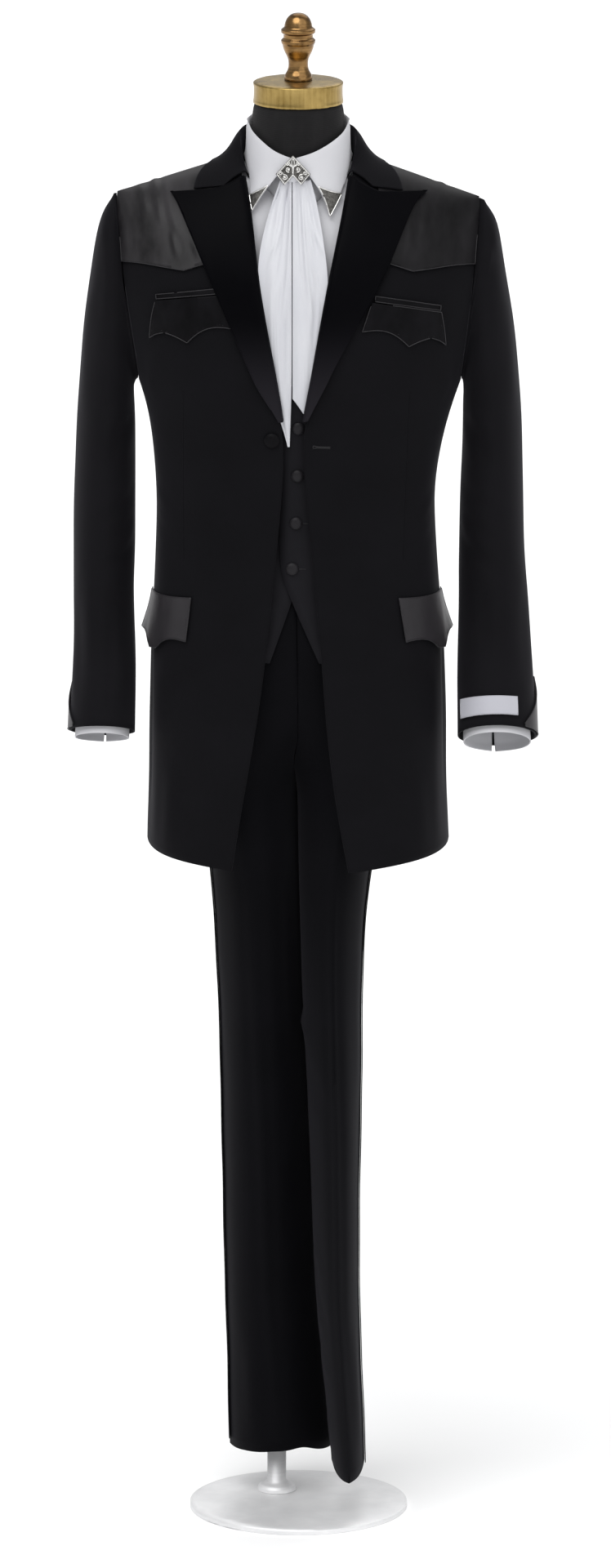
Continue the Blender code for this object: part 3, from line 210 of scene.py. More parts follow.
# Tones, threads as turn and spacing, roughness, gloss, sheen, relief and the size of slow changes
coatWool = dict(
    threads=[(58, 0.0013), (-32, 0.0021)], rough=(0.72, 0.9), specular=0.055, sheenTint=(0.45, 0.44, 0.5),
    bump=0.35,
)
legWool = dict(threads=[(58, 0.0012), (-32, 0.0019)], rough=(0.72, 0.9), sheenTint=(0.42, 0.41, 0.47), bump=0.32)
satin = dict(threads=[(0, 0.0006)], sheenTint=(0.6, 0.57, 0.6), bump=0.1)
# The yokes' satin: its slow, stretched streaks from dark to light are painted sheen, the reflection of the light
# above laid into the colour
yokeSheenSatin = dict(satin, slow=11, stretch=(2, 1, 1), slowShare=0.85, spread=(0.36, 0.66))
white = dict(sheenTint=(1, 1, 1))
thread = dict(threads=[(45, 0.0005)], bump=0.2, coordinates="Object")
clothLooks = {
    "wool": dict(coatWool, dark=(0.0021, 0.002, 0.0026), light=(0.0058, 0.0056, 0.007), sheen=0.075, slow=9),
    # The sleeves' copy of the coat wool, painted lighter for the light that the sleeves catch
    "sleeveLitWool": dict(coatWool, dark=(0.003, 0.0028, 0.0036), light=(0.008, 0.0076, 0.0092), sheen=0.085, slow=7),
    "trouserWool": dict(
        legWool, dark=(0.0014, 0.0014, 0.0019), light=(0.0044, 0.0043, 0.0056), specular=0.04, sheen=0.055, slow=7,
    ),
    "vestWool": dict(
        legWool, dark=(0.005, 0.0048, 0.006), light=(0.0125, 0.012, 0.0145), specular=0.08, sheen=0.08, slow=11,
    ),
    # The right yoke's satin, whose light streaks are painted sheen
    "yokeSheenSatin": dict(
        yokeSheenSatin, dark=(0.002, 0.0018, 0.0023), light=(0.025, 0.0232, 0.0255), rough=(0.32, 0.5), specular=0.2,
        sheen=0.05,
    ),
    # The left yoke's satin, painted darker as shade on the shoulder turned from the key light, with fainter painted
    # sheen
    "yokeSatinShadedLeft": dict(
        yokeSheenSatin, dark=(0.0014, 0.0013, 0.0017), light=(0.0105, 0.0098, 0.0112), rough=(0.34, 0.52), specular=0.11,
        sheen=0.03,
    ),
    "chestSatin": dict(
        satin, dark=(0.001, 0.0009, 0.0013), light=(0.0042, 0.0039, 0.005), rough=(0.38, 0.54), specular=0.06,
        sheen=0.015, slow=17, stretch=(1.6, 1, 1), slowShare=0.8, spread=(0.36, 0.64),
    ),
    "buttonSatin": dict(
        satin, dark=(0.007, 0.0065, 0.008), light=(0.014, 0.013, 0.015), rough=(0.36, 0.52), specular=0.14,
        sheen=0.06, slow=30, slowShare=0.5,
    ),
    # The hip flaps' and cuff insets' satin: the trim satin painted lighter, with stretched streaks, as painted
    # sheen from the light above
    "sheenSatin": dict(
        satin, dark=(0.008, 0.007, 0.0085), light=(0.025, 0.023, 0.026), rough=(0.34, 0.5), specular=0.2,
        sheen=0.12, slow=12, stretch=(2.2, 1, 1), slowShare=0.7,
    ),
    "lapelSatin": dict(
        dark=(0.0004, 0.0004, 0.0007), light=(0.0018, 0.0017, 0.0026), threads=[(8, 0.0007)],
        rough=(0.38, 0.5), specular=0.026, sheen=0, bump=0.08, slow=9, slowShare=0.6,
        # Heights where the painted reflection at the paler foot starts and ends, its share and its colour
        paintedReflection=(1.585, 1.45, 0.85, (0.015, 0.0138, 0.017)),
    ),
    "piping": dict(
        dark=(0.0075, 0.007, 0.008), light=(0.026, 0.0245, 0.027), threads=[(45, 0.0008)], rough=(0.34, 0.5),
        specular=0.2, sheen=0.1, bump=0.2, coordinates="Object",
    ),
    "shirting": dict(
        white, dark=(0.47, 0.47, 0.495), light=(0.58, 0.58, 0.6), threads=[(0, 0.0007), (90, 0.0007)],
        rough=(0.62, 0.8), specular=0.2, sheen=0.1, bump=0.16, slow=10,
    ),
    "cravatSatin": dict(
        white, dark=(0.46, 0.465, 0.5), light=(0.58, 0.585, 0.61), threads=[(4, 0.0006)], rough=(0.3, 0.42),
        specular=0.4, sheen=0.1, bump=0.08, slow=16, stretch=(2.5, 0.7, 1),
    ),
    "labelCloth": dict(
        white, dark=(0.37, 0.37, 0.41), light=(0.43, 0.43, 0.465), threads=[(0, 0.0009), (90, 0.0006)],
        rough=(0.5, 0.7), specular=0.3, bump=0.2,
    ),
    "whiteThread": dict(thread, dark=(0.5, 0.5, 0.54), light=(0.66, 0.66, 0.69), rough=(0.5, 0.7), specular=0.3),
    "blackThread": dict(
        thread, dark=(0.005, 0.0048, 0.0056), light=(0.018, 0.017, 0.019), rough=(0.4, 0.6), specular=0.2,
    ),
    "jersey": dict(
        dark=(0.005, 0.0049, 0.0052), light=(0.0185, 0.0178, 0.0185), threads=[(0, 0.0012), (90, 0.0017)],
        rough=(0.75, 0.92), specular=0.1, sheen=0.12, sheenTint=(0.5, 0.48, 0.48), bump=0.5, slow=18,
    ),
}
metalLooks = {
    "capBrass": dict(
        dark=(0.2, 0.13, 0.035), light=(0.44, 0.315, 0.115), stretch=(60, 60, 2), scratch=3, patches=26,
        rough=(0.24, 0.38), bump=0.12,
    ),
    "finialBrass": dict(
        dark=(0.08, 0.04, 0.014), light=(0.34, 0.2, 0.08), stretch=(1, 1, 40), scratch=6, patches=70,
        rough=(0.14, 0.3), bump=0.1,
    ),
    "silver": dict(
        dark=(0.5, 0.49, 0.47), light=(0.86, 0.855, 0.84), scratch=300, patches=160, rough=(0.14, 0.3), bump=0.1,
    ),
    "darkSilver": dict(
        dark=(0.02, 0.019, 0.018), light=(0.17, 0.165, 0.155), scratch=700, patches=380, rough=(0.3, 0.55),
        bump=0.6,
    ),
    # The stand's pale steel, partly its own colour and partly painted shadow: its grey is set to that of the soft
    # shadow on the floor under the suit, where the base stands
    "standSteel": dict(
        dark=(0.66, 0.66, 0.67), light=(0.8, 0.8, 0.805), stretch=(1, 1, 30), scratch=12, patches=18,
        rough=(0.36, 0.48), bump=0.05, metal=0.25,
    ),
}
finishes = {}


def makeFinishes():
    for make, looks in ((clothFinish, clothLooks), (metalFinish, metalLooks)):
        for name, look in looks.items():
            finishes[name] = make(name, look)


# Shells on the solids

def newObject(name, data):
    thing = bpy.data.objects.new(name, data)
    scene.collection.objects.link(thing)
    return thing


def meshObject(name, work):
    mesh = bpy.data.meshes.new(name)
    work.to_mesh(mesh)
    work.free()
    return newObject(name, mesh)


def meshOf(thing):
    # What the object's modifiers, or its curves, make
    graph = bpy.context.evaluated_depsgraph_get()
    return bpy.data.meshes.new_from_object(thing.evaluated_get(graph))


def withModifiers(thing):
    mesh = meshOf(thing)
    thing.modifiers.clear()
    thing.data = mesh


pointed = (
    "coat_collar", "lapel_", "yoke_", "chest_", "hip_flap_", "cuff_inset_", "coat_front_", "vest_front_", "cravat_",
    "shirt_collar", "sleeve_label", "collar_tip_",
)


def smoothShell(node, levels, sharp=62, turned=24):
    # A finer, smooth copy of a solid, with its rims kept crisp
    work = bmesh.new()
    work.from_mesh(nodes[node].data)
    bmesh.ops.remove_doubles(work, verts=work.verts, dist=0.00003)
    bmesh.ops.join_triangles(
        work, faces=work.faces, angle_face_threshold=math.radians(38), angle_shape_threshold=math.radians(80),
    )
    rim = work.edges.layers.float.new("crease_edge")
    for edge in work.edges:
        if len(edge.link_faces) == 2 and edge.calc_face_angle(0) > math.radians(sharp):
            edge[rim] = 1.0
    corner = work.verts.layers.float.new("crease_vert")
    for vert in work.verts:    # a rim that turns sharply keeps its point
        along = [(edge.other_vert(vert).co - vert.co).normalized() for edge in vert.link_edges if edge[rim] > 0.5]
        straight = min((first.dot(second) for first in along for second in along), default=-1)
        if node.startswith(pointed) and len(along) > 1 and straight > -math.cos(math.radians(turned)):
            vert[corner] = 1.0
    thing = meshObject(node + "_cloth", work)
    rounding = thing.modifiers.new("rounding", "SUBSURF")
    rounding.levels = levels
    rounding.render_levels = levels
    withModifiers(thing)
    finished[node] = thing
    return thing


def smoothShading(thing, sharp=48):
    thing.data.polygons.foreach_set("use_smooth", [True] * len(thing.data.polygons))
    thing.data.set_sharp_from_angle(angle=math.radians(sharp))


# Height, x and y of the middle of each garment part, its half width and depth, and its side
parts = {
    "body": ([(0.8, 0, 0), (2, 0, 0)], 0.2, 0.13, 1),
    "neck": ([(1.6, 0, 0), (1.9, 0, 0)], 0.075, 0.075, 1),
    "arm_right": ([
        (1.037, -0.248, -0.06), (1.105, -0.2458, -0.035), (1.16, -0.2458, -0.017), (1.215, -0.2469, -0.003),
        (1.271, -0.2455, 0.005), (1.397, -0.2436, 0.008), (1.56, -0.2384, 0.004), (1.7, -0.228, 0),
    ], 0.045, 0.065, -1),
    "arm_left": ([
        (1.034, 0.251, -0.074), (1.105, 0.2494, -0.044), (1.16, 0.2482, -0.022), (1.215, 0.2465, -0.006),
        (1.271, 0.2445, 0.004), (1.397, 0.2454, 0.008), (1.56, 0.2324, 0.004), (1.7, 0.229, 0),
    ], 0.045, 0.065, 1),
    "leg_right": ([
        (0.072, -0.0228, 0.0695), (0.29, -0.0365, 0.0585), (0.522, -0.0415, 0.042), (0.725, -0.05, 0.024),
        (0.834, -0.053, 0.014), (0.92, -0.062, 0.008), (1.08, -0.08, 0.005),
    ], 0.06, 0.08, -1),
    "leg_left": ([
        (0.066, 0.065, -0.014), (0.29, 0.05, -0.01), (0.522, 0.0486, -0.006), (0.725, 0.0433, -0.0015),
        (0.834, 0.0442, 0.001), (0.92, 0.0543, 0.002), (1.08, 0.078, 0.004),
    ], 0.04, 0.1, 1),
}


def besideMiddle(points, part):
    # x and y from the part's middle line, with its half width and depth and its side
    heights, *places = zip(*parts[part][0])
    x, y = (points[:, axis] - np.interp(points[:, 2], heights, places[axis]) for axis in (0, 1))
    return x, y, *parts[part][1:]


def roundPlace(points, part):
    # Turn from the front in degrees, towards the arm's or leg's outer side, and the way outwards
    x, y, wide, deep, side = besideMiddle(points, part)
    turn = np.degrees(np.arctan2(side * x / wide, -y / deep))
    out = np.stack([x / wide ** 2, y / deep ** 2, np.zeros(len(x))], axis=1)
    out /= np.maximum(np.linalg.norm(out, axis=1), 1e-9)[:, None]
    if part == "body":    # at the shoulders the way outwards turns up
        lift = shareOf(points[:, 2], 1.62, 0.12)[:, None]
        out = out * (1 - 0.75 * lift) + np.array([0, 0, 1]) * lift
        out /= np.linalg.norm(out, axis=1)[:, None]
    return turn, out, (wide + deep) / 2


def pointsOf(thing):
    points = np.empty(len(thing.data.vertices) * 3)
    thing.data.vertices.foreach_get("co", points)
    return points.reshape(-1, 3)


def movePoints(thing, points):
    thing.data.vertices.foreach_set("co", points.ravel())
    thing.data.update()


def foldCloth(thing, part, folds, inward=2, ripple=0, flat=False):
    # Each fold is a soft ridge, or a trough where its height is below 0, that fades out at both ends
    points = pointsOf(thing)
    turn, out, radius = roundPlace(points, part)
    scale = 0.001 if flat else math.radians(radius)
    across = points[:, 0] * 1000 if flat else turn
    shift = np.zeros(len(points))
    for start, low, end, high, wide, tall, bow in folds:
        low, high = low * 0.001, high * 0.001
        run = np.array([(end - start) * scale, high - low])
        length = np.linalg.norm(run)
        away = across - start if flat else (across - start + 180) % 360 - 180
        here = np.stack([away * scale, points[:, 2] - low], axis=1)
        share = np.clip(here @ run / length ** 2, 0, 1)
        side = np.array([-run[1], run[0]]) / length
        line = share[:, None] * run + (np.sin(math.pi * share) * bow * 0.001)[:, None] * side
        gap = np.linalg.norm(here - line, axis=1) / (wide * 0.001)
        profile = np.exp(-gap ** 2) - 0.3 * np.exp(-(gap - 1.9) ** 2)
        shift += tall * 0.001 * np.sin(math.pi * share) ** 0.7 * profile
    if ripple:
        u, v = across * scale, points[:, 2]
        waves = np.sin(31 * u + 17 * v + 0.6) * np.sin(9 * v - 23 * u) + 0.6 * np.sin(53 * v + 11 * u)
        shift += ripple * 0.001 * waves
    shift = np.maximum(shift, -inward * 0.001 if np.isscalar(inward) else -inward(points) * 0.001)
    if part.startswith("arm"):    # the sleeve's head stays in its armhole
        shift *= np.where(points[:, 2] > 1.44, shareOf(np.abs(points[:, 0]), 0.212, 0.022), 1)
    movePoints(thing, points + out * shift[:, None])


def unwrap(thing, part, flat=False):
    # UVs in metres: round the part and up it, or straight from the front
    mesh = thing.data
    corners = np.empty(len(mesh.loops), dtype=np.int32)
    mesh.loops.foreach_get("vertex_index", corners)
    counts = np.empty(len(mesh.polygons), dtype=np.int32)
    mesh.polygons.foreach_get("loop_total", counts)
    points = pointsOf(thing)[corners]
    if flat:
        across = points[:, 0]
    else:
        turn, _, radius = roundPlace(points, part)
        starts = np.concatenate([[0], np.cumsum(counts)[:-1]])
        first = np.repeat(turn[starts], counts)
        turn = first + (turn - first + 180) % 360 - 180
        across = turn * math.radians(radius)
    layer = mesh.uv_layers.new(name="cloth")
    layer.data.foreach_set("uv", np.stack([across, points[:, 2]], axis=1).ravel())


def addDetail(thing, slot, finish):
    thing.data.materials.clear()
    thing.data.materials.append(finishes[finish])
    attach(thing, "root")


def dress(thing, node, slot, finish, cut=None):
    # The piece takes its solid's place; a cut, its width, length and area in metres, is not used
    smoothShading(thing)
    addDetail(thing, slot, finish)
    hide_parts(node)


def clothPiece(node, part, slot, finish, cut, folds=(), levels=3, flat=False):
    # A piece in its solid's place; each set of folds holds what foldCloth takes after the part
    thing = smoothShell(node, levels)
    for fold in folds:
        foldCloth(thing, part, *fold)
    unwrap(thing, part, flat)
    dress(thing, node, slot, finish, cut)
    return thing


def addCloth(name, work, part, slot, finish, flat=False, sharp=48):
    # A piece that has no solid of its own
    thing = meshObject(name, work)
    unwrap(thing, part, flat)
    smoothShading(thing, sharp)
    addDetail(thing, slot, finish)


# Lines that follow an edge

def surfaceOf(node):
    mesh = finished[node].data
    return BVHTree.FromPolygons([v.co for v in mesh.vertices], [p.vertices for p in mesh.polygons])


def rimChains(node, part, keep=lambda point: True, shortest=4):
    # The outer edge all round a cloth piece, as chains of points that pass the test
    work = bmesh.new()
    work.from_mesh(finished[node].data)
    links = {}
    for edge in work.edges:
        if len(edge.link_faces) != 2 or edge.calc_face_angle(0) < math.radians(50):
            continue
        middle = (edge.verts[0].co + edge.verts[1].co) / 2
        out = Vector(roundPlace(np.array([middle]), part)[1][0])
        if max(face.normal.dot(out) for face in edge.link_faces) < 0.45 or not keep(middle):
            continue
        for near, far in (edge.verts, reversed(edge.verts)):
            links.setdefault(near.index, []).append(far.index)
    work.verts.ensure_lookup_table()
    places = {index: work.verts[index].co.copy() for index in links}
    work.free()
    chains = []
    left = set(links)
    while left:
        start = next((index for index in sorted(left) if len(links[index]) == 1), min(left))
        chain = [start]
        left.discard(start)
        while True:
            step = next((index for index in links[chain[-1]] if index in left), None)
            if step is None:
                break
            chain.append(step)
            left.discard(step)
        if len(chain) >= shortest:
            chains.append([places[index] for index in chain])
    return chains


def evenly(chain, spacing):
    # The chain's points again, a spacing apart
    lengths = [0]
    for a, b in zip(chain, chain[1:]):
        lengths.append(lengths[-1] + (b - a).length)
    count = max(2, round(lengths[-1] / spacing))
    wanted = np.linspace(0, lengths[-1], count)
    columns = [np.interp(wanted, lengths, [point[axis] for point in chain]) for axis in range(3)]
    return [Vector(point) for point in zip(*columns)]


def cordAlong(name, chains, radius, slot, finish, sides=2):
    # A fine round cord on each chain
    data = bpy.data.curves.new(name, "CURVE")
    data.dimensions = "3D"
    data.bevel_depth = radius
    data.bevel_resolution = sides
    data.use_fill_caps = True
    for chain in chains:
        line = data.splines.new("POLY")
        line.points.add(len(chain) - 1)
        for point, place in zip(line.points, chain):
            point.co = (*place, 1)
    thing = newObject(name, data)
    mesh = meshOf(thing)
    bpy.data.objects.remove(thing)
    cord = newObject(name, mesh)
    smoothShading(cord, 60)
    addDetail(cord, slot, finish)


def insetChain(chain, tree, middle, distance, lift):
    # The same line a little way in from the edge, on the cloth
    moved = []
    for index, point in enumerate(chain):
        before, after = chain[max(0, index - 2)], chain[min(len(chain) - 1, index + 2)]
        normal = tree.find_nearest(point)[1]
        inwards = normal.cross(after - before).normalized()
        if inwards.dot(middle - point) < 0:
            inwards.negate()
        place, normal = tree.find_nearest(point + inwards * distance)[:2]
        moved.append(place + normal * lift)
    return moved


def addBead(work, place, subdivisions, radius, shape=Matrix.Identity(4)):
    bmesh.ops.create_icosphere(
        work, subdivisions=subdivisions, radius=radius, matrix=Matrix.Translation(place) @ shape,
    )


def finishBeads(name, work, slot, finish):
    beads = meshObject(name, work)
    smoothShading(beads, 80)
    addDetail(beads, slot, finish)


def stitchRow(name, chains, slot, finish, stitch=0.0023, gap=0.0013, thick=0.00022):
    work = bmesh.new()
    for chain in chains:
        places = evenly(chain, stitch + gap)
        for before, after in zip(places, places[1:]):
            along = after - before
            turn = along.to_track_quat("Z", "Y").to_matrix().to_4x4()
            addBead(work, (before + after) / 2, 1, 1, turn @ Matrix.Diagonal((thick, thick, stitch / 2, 1)))
    finishBeads(name, work, slot, finish)


def stitchInside(node, chains, inset, slot, finish, lift=0.00012, middle=None, **thread):
    # Stitches in rows a little way in from the piece's edges
    tree = surfaceOf(node)
    middle = middle or Vector(pointsOf(finished[node]).mean(axis=0))
    rows = [insetChain(chain, tree, middle, inset, lift) for chain in chains]
    stitchRow(node + "_stitches", rows, slot, finish, **thread)


def shareOf(values, start, long):
    # 0 before the start, 1 past the length, which is below 0 where it is measured downwards
    return np.clip((values - start) / long, 0, 1)


def innerEdge(points, side, heights, near):
    # How far in the piece reaches at each height where it has points
    reach = np.array([
        (side * points[:, 0][np.abs(points[:, 2] - z) < near]).min(initial=1) for z in heights
    ])
    return heights[reach < 0.9], reach[reach < 0.9]


# Coat

# Each fold: its turn in degrees, or x in a flat piece, and its height where it starts and where it ends, then
# its width, relief and bow, all lengths in millimetres
coat = {
    "hem": {"top": 0.965, "long": 0.093, "from": 0.075, "over": 0.12, "rise": 0.0135, "bend": 0.9},
    "lapelFoot": {"top": 1.5, "long": 0.05, "narrow": 0.48, "heights": (1.446, 1.506, 0.003)},
    "ventFacing": (0.876, 1.15, 0.017),    # lowest and highest place, half width
    # The right yoke has painted sheen; the left one is that satin painted darker as shade
    "yokeFinish": {"right": "yokeSheenSatin", "left": "yokeSatinShadedLeft"},
    "bodyFolds": [
        (-64, 1115, -60, 880, 22, 2.2, 4), (-38, 1060, -34, 885, 20, -2.4, -3), (-84, 1180, -78, 930, 17, -2.6, 3),
        (-47, 1000, -49, 876, 12, 1.3, 0), (-82, 1345, -52, 1322, 8, 0.9, 3), (-80, 1312, -58, 1300, 7, -0.8, -2),
        (-14, 1432, -36, 1452, 8, 0.9, 2), (-15, 1405, -40, 1372, 9, 1, -3), (-62, 1470, -44, 1560, 10, 0.9, 4),
        (-55, 1590, -44, 1640, 8, 0.7, 2), (58, 1125, 55, 885, 21, 2.3, -4), (33, 1070, 30, 890, 19, -2.2, 3),
        (82, 1190, 76, 945, 16, -2.5, -3), (43, 990, 45, 880, 11, 1.2, 0), (80, 1338, 50, 1312, 8, 1, -3),
        (78, 1300, 56, 1286, 8, -0.8, 2), (14, 1440, 30, 1470, 8, 0.7, -2), (60, 1470, 45, 1548, 10, 1, -3),
        (104, 1150, 109, 890, 20, 2.4, -4), (126, 1060, 131, 885, 22, -2.6, 3), (150, 1190, 155, 890, 24, 2.2, 3),
        (172, 1020, 170, 885, 15, -1.8, 0), (-101, 1160, -106, 895, 19, 2.2, 4),
        (-123, 1080, -128, 885, 21, -2.4, -3), (-146, 1210, -150, 890, 23, 2.4, -4),
        (-168, 1040, -165, 890, 14, -1.6, 0), (118, 1352, 150, 1330, 9, 1.1, 3),
        (124, 1318, 146, 1304, 8, -0.8, -2), (-116, 1348, -148, 1322, 9, 1.2, -3),
        (-122, 1310, -144, 1296, 8, -0.8, 2), (120, 1490, 136, 1600, 12, 1.2, -5),
        (-119, 1490, -134, 1606, 12, 1.3, 5), (138, 1470, 148, 1580, 10, -0.8, 3),
        (-139, 1462, -149, 1572, 10, -0.8, -3),
    ],
    "armFolds": {
        "right": [
            (-68, 1338, 12, 1300, 9, -1.9, 4), (-74, 1300, 4, 1262, 10, 1.7, -4), (-60, 1268, 8, 1242, 8, -1.3, 3),
            (22, 1245, 14, 1075, 12, 1.5, 2), (-16, 1215, -12, 1066, 10, -1.4, 0),
            (58, 1210, 52, 1062, 13, -1.3, -2), (-66, 1445, -8, 1388, 11, -1.4, 5), (-50, 1470, 2, 1425, 9, 1.1, 3),
            (20, 1650, 12, 1540, 12, -1.1, 0), (50, 1600, 44, 1440, 15, 1.1, 2), (140, 1352, 196, 1316, 10, 1.8, 3),
            (146, 1312, 204, 1282, 9, -1.7, -3), (150, 1276, 196, 1256, 8, 1.3, 0),
            (160, 1560, 176, 1430, 13, -1.4, 3), (120, 1200, 128, 1075, 12, 1.2, -2),
            (-110, 1238, -104, 1092, 11, 1.2, 2),
        ],
        "left": [
            (-70, 1345, 16, 1312, 10, -1.8, 4), (-72, 1306, 2, 1270, 9, 1.8, -3), (-64, 1272, 14, 1238, 9, -1.4, 4),
            (16, 1252, 20, 1140, 12, 1.3, -2), (-22, 1236, -18, 1130, 11, -1.3, 0),
            (62, 1225, 54, 1100, 13, -1.2, -2), (-64, 1440, -4, 1376, 11, -1.3, 5), (-52, 1466, 4, 1415, 9, 1, 3),
            (16, 1640, 10, 1530, 12, -1.2, 0), (46, 1590, 42, 1450, 14, 1.2, 2), (142, 1346, 192, 1320, 9, 1.7, 3),
            (148, 1316, 206, 1280, 10, -1.8, -3), (154, 1270, 198, 1244, 9, 1.4, 0),
            (162, 1556, 174, 1440, 12, -1.3, 3), (124, 1215, 130, 1082, 12, 1.2, -2),
            (-112, 1230, -106, 1100, 11, 1.1, 2),
        ],
    },
    # Width, length and area of each cut, in metres
    "cuts": {
        "coat_front": (0.31, 0.92, 0.199), "coat_back": (0.3, 0.92, 0.233), "sleeve": (0.42, 0.72, 0.195),
        "coat_collar": (0.47, 0.1, 0.0378), "lapel": (0.11, 0.32, 0.0188), "yoke": (0.15, 0.16, 0.0184),
        "chest_flap": (0.108, 0.066, 0.0046), "chest_welt": (0.095, 0.012, 0.0007),
        "hip_flap": (0.15, 0.076, 0.0085), "cuff_inset_right": (0.11, 0.09, 0.0049),
        "cuff_inset_left": (0.12, 0.1, 0.0063),
    },
    # Wrinkles of the satin yokes: x in millimetres and height
    "yokeFolds": [
        (-186, 1750, -172, 1690, 4, 1.5, 2), (-168, 1735, -146, 1672, 5, 1.4, -2),
        (-159, 1684, -151, 1652, 3.5, 1.1, 0), (-211, 1728, -201, 1668, 5, -0.7, 2),
        (-133, 1676, -121, 1648, 3.5, 1, 0), (-199, 1730, -190, 1700, 4, 1, 1),
        (184, 1742, 172, 1684, 4.5, 1.4, -2), (163, 1728, 152, 1660, 4.5, 1.3, 2), (143, 1700, 139, 1658, 4, 1, 0),
        (206, 1720, 203, 1662, 5, -0.7, -2), (126, 1690, 122, 1655, 4, 0.8, 0), (194, 1715, 188, 1672, 4, 0.9, -1),
    ],
    "flapFolds": [
        (-168, 1596, -160, 1562, 5, 0.5, 0), (-140, 1592, -134, 1566, 6, 0.5, 0), (136, 1594, 130, 1562, 6, 0.5, 0),
        (170, 1590, 168, 1560, 5, 0.5, 0),
    ],
    "piping": 0.00062, "cuffPiping": 0.0005, "stitchIn": 0.0032,
    "darts": {"right": [(-0.145, 1.484), (-0.1445, 1.265)], "left": [(0.14, 1.484), (0.132, 1.265)]},
    "buttonhole": (0.0186, 0.0398, 1.4165, -0.001),
}


def coatRoom(points):
    # How far, in millimetres, the coat can sink: little over the vest, more in the skirts
    return 0.8 + 3.4 * shareOf(points[:, 2], 1.15, -0.07)


def coatPiece(kind, end, slot, finish, flat=False, extra=(), levels=3):
    folds = [(coat["bodyFolds"], coatRoom, 0.25)] + [(rows, 0.6, 0, True) for rows in extra]
    clothPiece(kind + end, "body", slot, finish, coat["cuts"][kind[:-1]], folds, levels, flat)


def armPiece(node, end, slot, finish, cut):
    return clothPiece(node, "arm_" + end, slot, finish, cut, [(coat["armFolds"][end], 2.2, 0.22)])


def makeCoat():
    for end, side in ends.items():
        coatPiece("coat_front_", end, "coat_wool", "wool")
        coatPiece("coat_back_", end, "coat_wool", "wool")
        shapeHem(finished["coat_front_" + end])
        shapeHem(finished["coat_back_" + end])
        coatPiece("lapel_", end, "lapel_satin", "lapelSatin", True)
        taperFoot(finished["lapel_" + end], side)
        coatPiece("yoke_", end, "satin_trim", coat["yokeFinish"][end], True, [coat["yokeFolds"]])
        coatPiece("chest_flap_", end, "satin_trim", "chestSatin", True, [coat["flapFolds"]])
        coatPiece("chest_welt_", end, "satin_trim", "chestSatin", True, levels=2)
        coatPiece("hip_flap_", end, "satin_trim", "sheenSatin")
        armPiece("sleeve_" + end, end, "coat_wool", "sleeveLitWool", coat["cuts"]["sleeve"])
        armPiece("cuff_inset_" + end, end, "satin_trim", "sheenSatin", coat["cuts"]["cuff_inset_" + end])
    clothPiece("coat_collar", "neck", "coat_wool", "wool", coat["cuts"]["coat_collar"])
    makeVentFacing()
    print("coat: panels, sleeves, lapels and satin trim are made")


def taperFoot(thing, side):
    # The lapel narrows to its foot above the button
    points = pointsOf(thing)
    foot = coat["lapelFoot"]
    inner = side * np.interp(points[:, 2], *innerEdge(points, side, np.arange(*foot["heights"]), 0.003))
    share = shareOf(points[:, 2], foot["top"], -foot["long"])
    points[:, 0] = inner + (points[:, 0] - inner) * (1 - foot["narrow"] * share ** 1.6)
    movePoints(thing, points)


def shapeHem(thing):
    # The hem rises from the front corners to the side seams
    points = pointsOf(thing)
    hem = coat["hem"]
    low = shareOf(points[:, 2], hem["top"], -hem["long"])
    side = shareOf(np.abs(points[:, 0]), hem["from"], hem["over"])
    points[:, 2] += hem["rise"] * low * side ** hem["bend"]
    movePoints(thing, points)


def makeVentFacing():
    # A strip of the coat's wool behind the back seam and its vent
    lowest, highest, half = coat["ventFacing"]
    work = bmesh.new()
    bmesh.ops.create_grid(work, x_segments=6, y_segments=40, size=1)
    trees = {side: surfaceOf("coat_back_" + end) for end, side in ends.items()}
    for vert in work.verts:
        x, z = vert.co.x * half, lowest + (highest - lowest) * (vert.co.y + 1) / 2
        side = 1 if x > 0 else -1
        spot = Vector((side * max(abs(x), 0.006), 0.02, z))
        hit = trees[side].ray_cast(spot, Vector((0, 1, 0)))[0]
        vert.co = Vector((x, (hit.y if hit else 0.1) - 0.0018, z))
    bmesh.ops.solidify(work, geom=work.faces, thickness=0.0008)
    addCloth("coat_vent_facing", work, "body", "coat_wool", "wool", True)


def makeCoatEdges():
    # Piped edges of the western trim, and the pressed edges of the lapels
    for end in ends:
        trims = {
            "yoke_" + end: lambda p: p.z < 1.668 and abs(p.x) > 0.112,
            "chest_flap_" + end: lambda p: p.z < 1.596,
            "chest_welt_" + end: lambda p: True,
            "hip_flap_" + end: lambda p: p.z < 1.206,
        }
        for node, keep in trims.items():
            cordAlong(node + "_piping", rimChains(node, "body", keep), coat["piping"], "satin_trim", "piping")
        for node in ("chest_flap_" + end, "hip_flap_" + end):
            chains = rimChains(node, "body", trims[node], 9)
            stitchInside(node, chains, coat["stitchIn"], "satin_trim", "blackThread")
        chains = rimChains("cuff_inset_" + end, "arm_" + end)
        cordAlong("cuff_inset_" + end + "_piping", chains, coat["cuffPiping"], "satin_trim", "piping")
        outer = rimChains("lapel_" + end, "body", lambda p: max(0.035, (p.z - 1.43) / 1.9) < abs(p.x))
        cordAlong("lapel_" + end + "_edge", outer, 0.0006, "lapel_satin", "lapelSatin")
    print("coat: piping, edges and stitches are made")


def frontLine(tree, corners, lift=0.0001, spacing=0.004):
    # A line down the front, laid on the cloth
    places = []
    for point in evenly([Vector((x, 0, z)) for x, z in corners], spacing):
        hit, normal = tree.ray_cast(Vector((point.x, -0.4, point.z)), Vector((0, 1, 0)))[:2]
        if hit:
            places.append(hit + normal * lift)
    return places


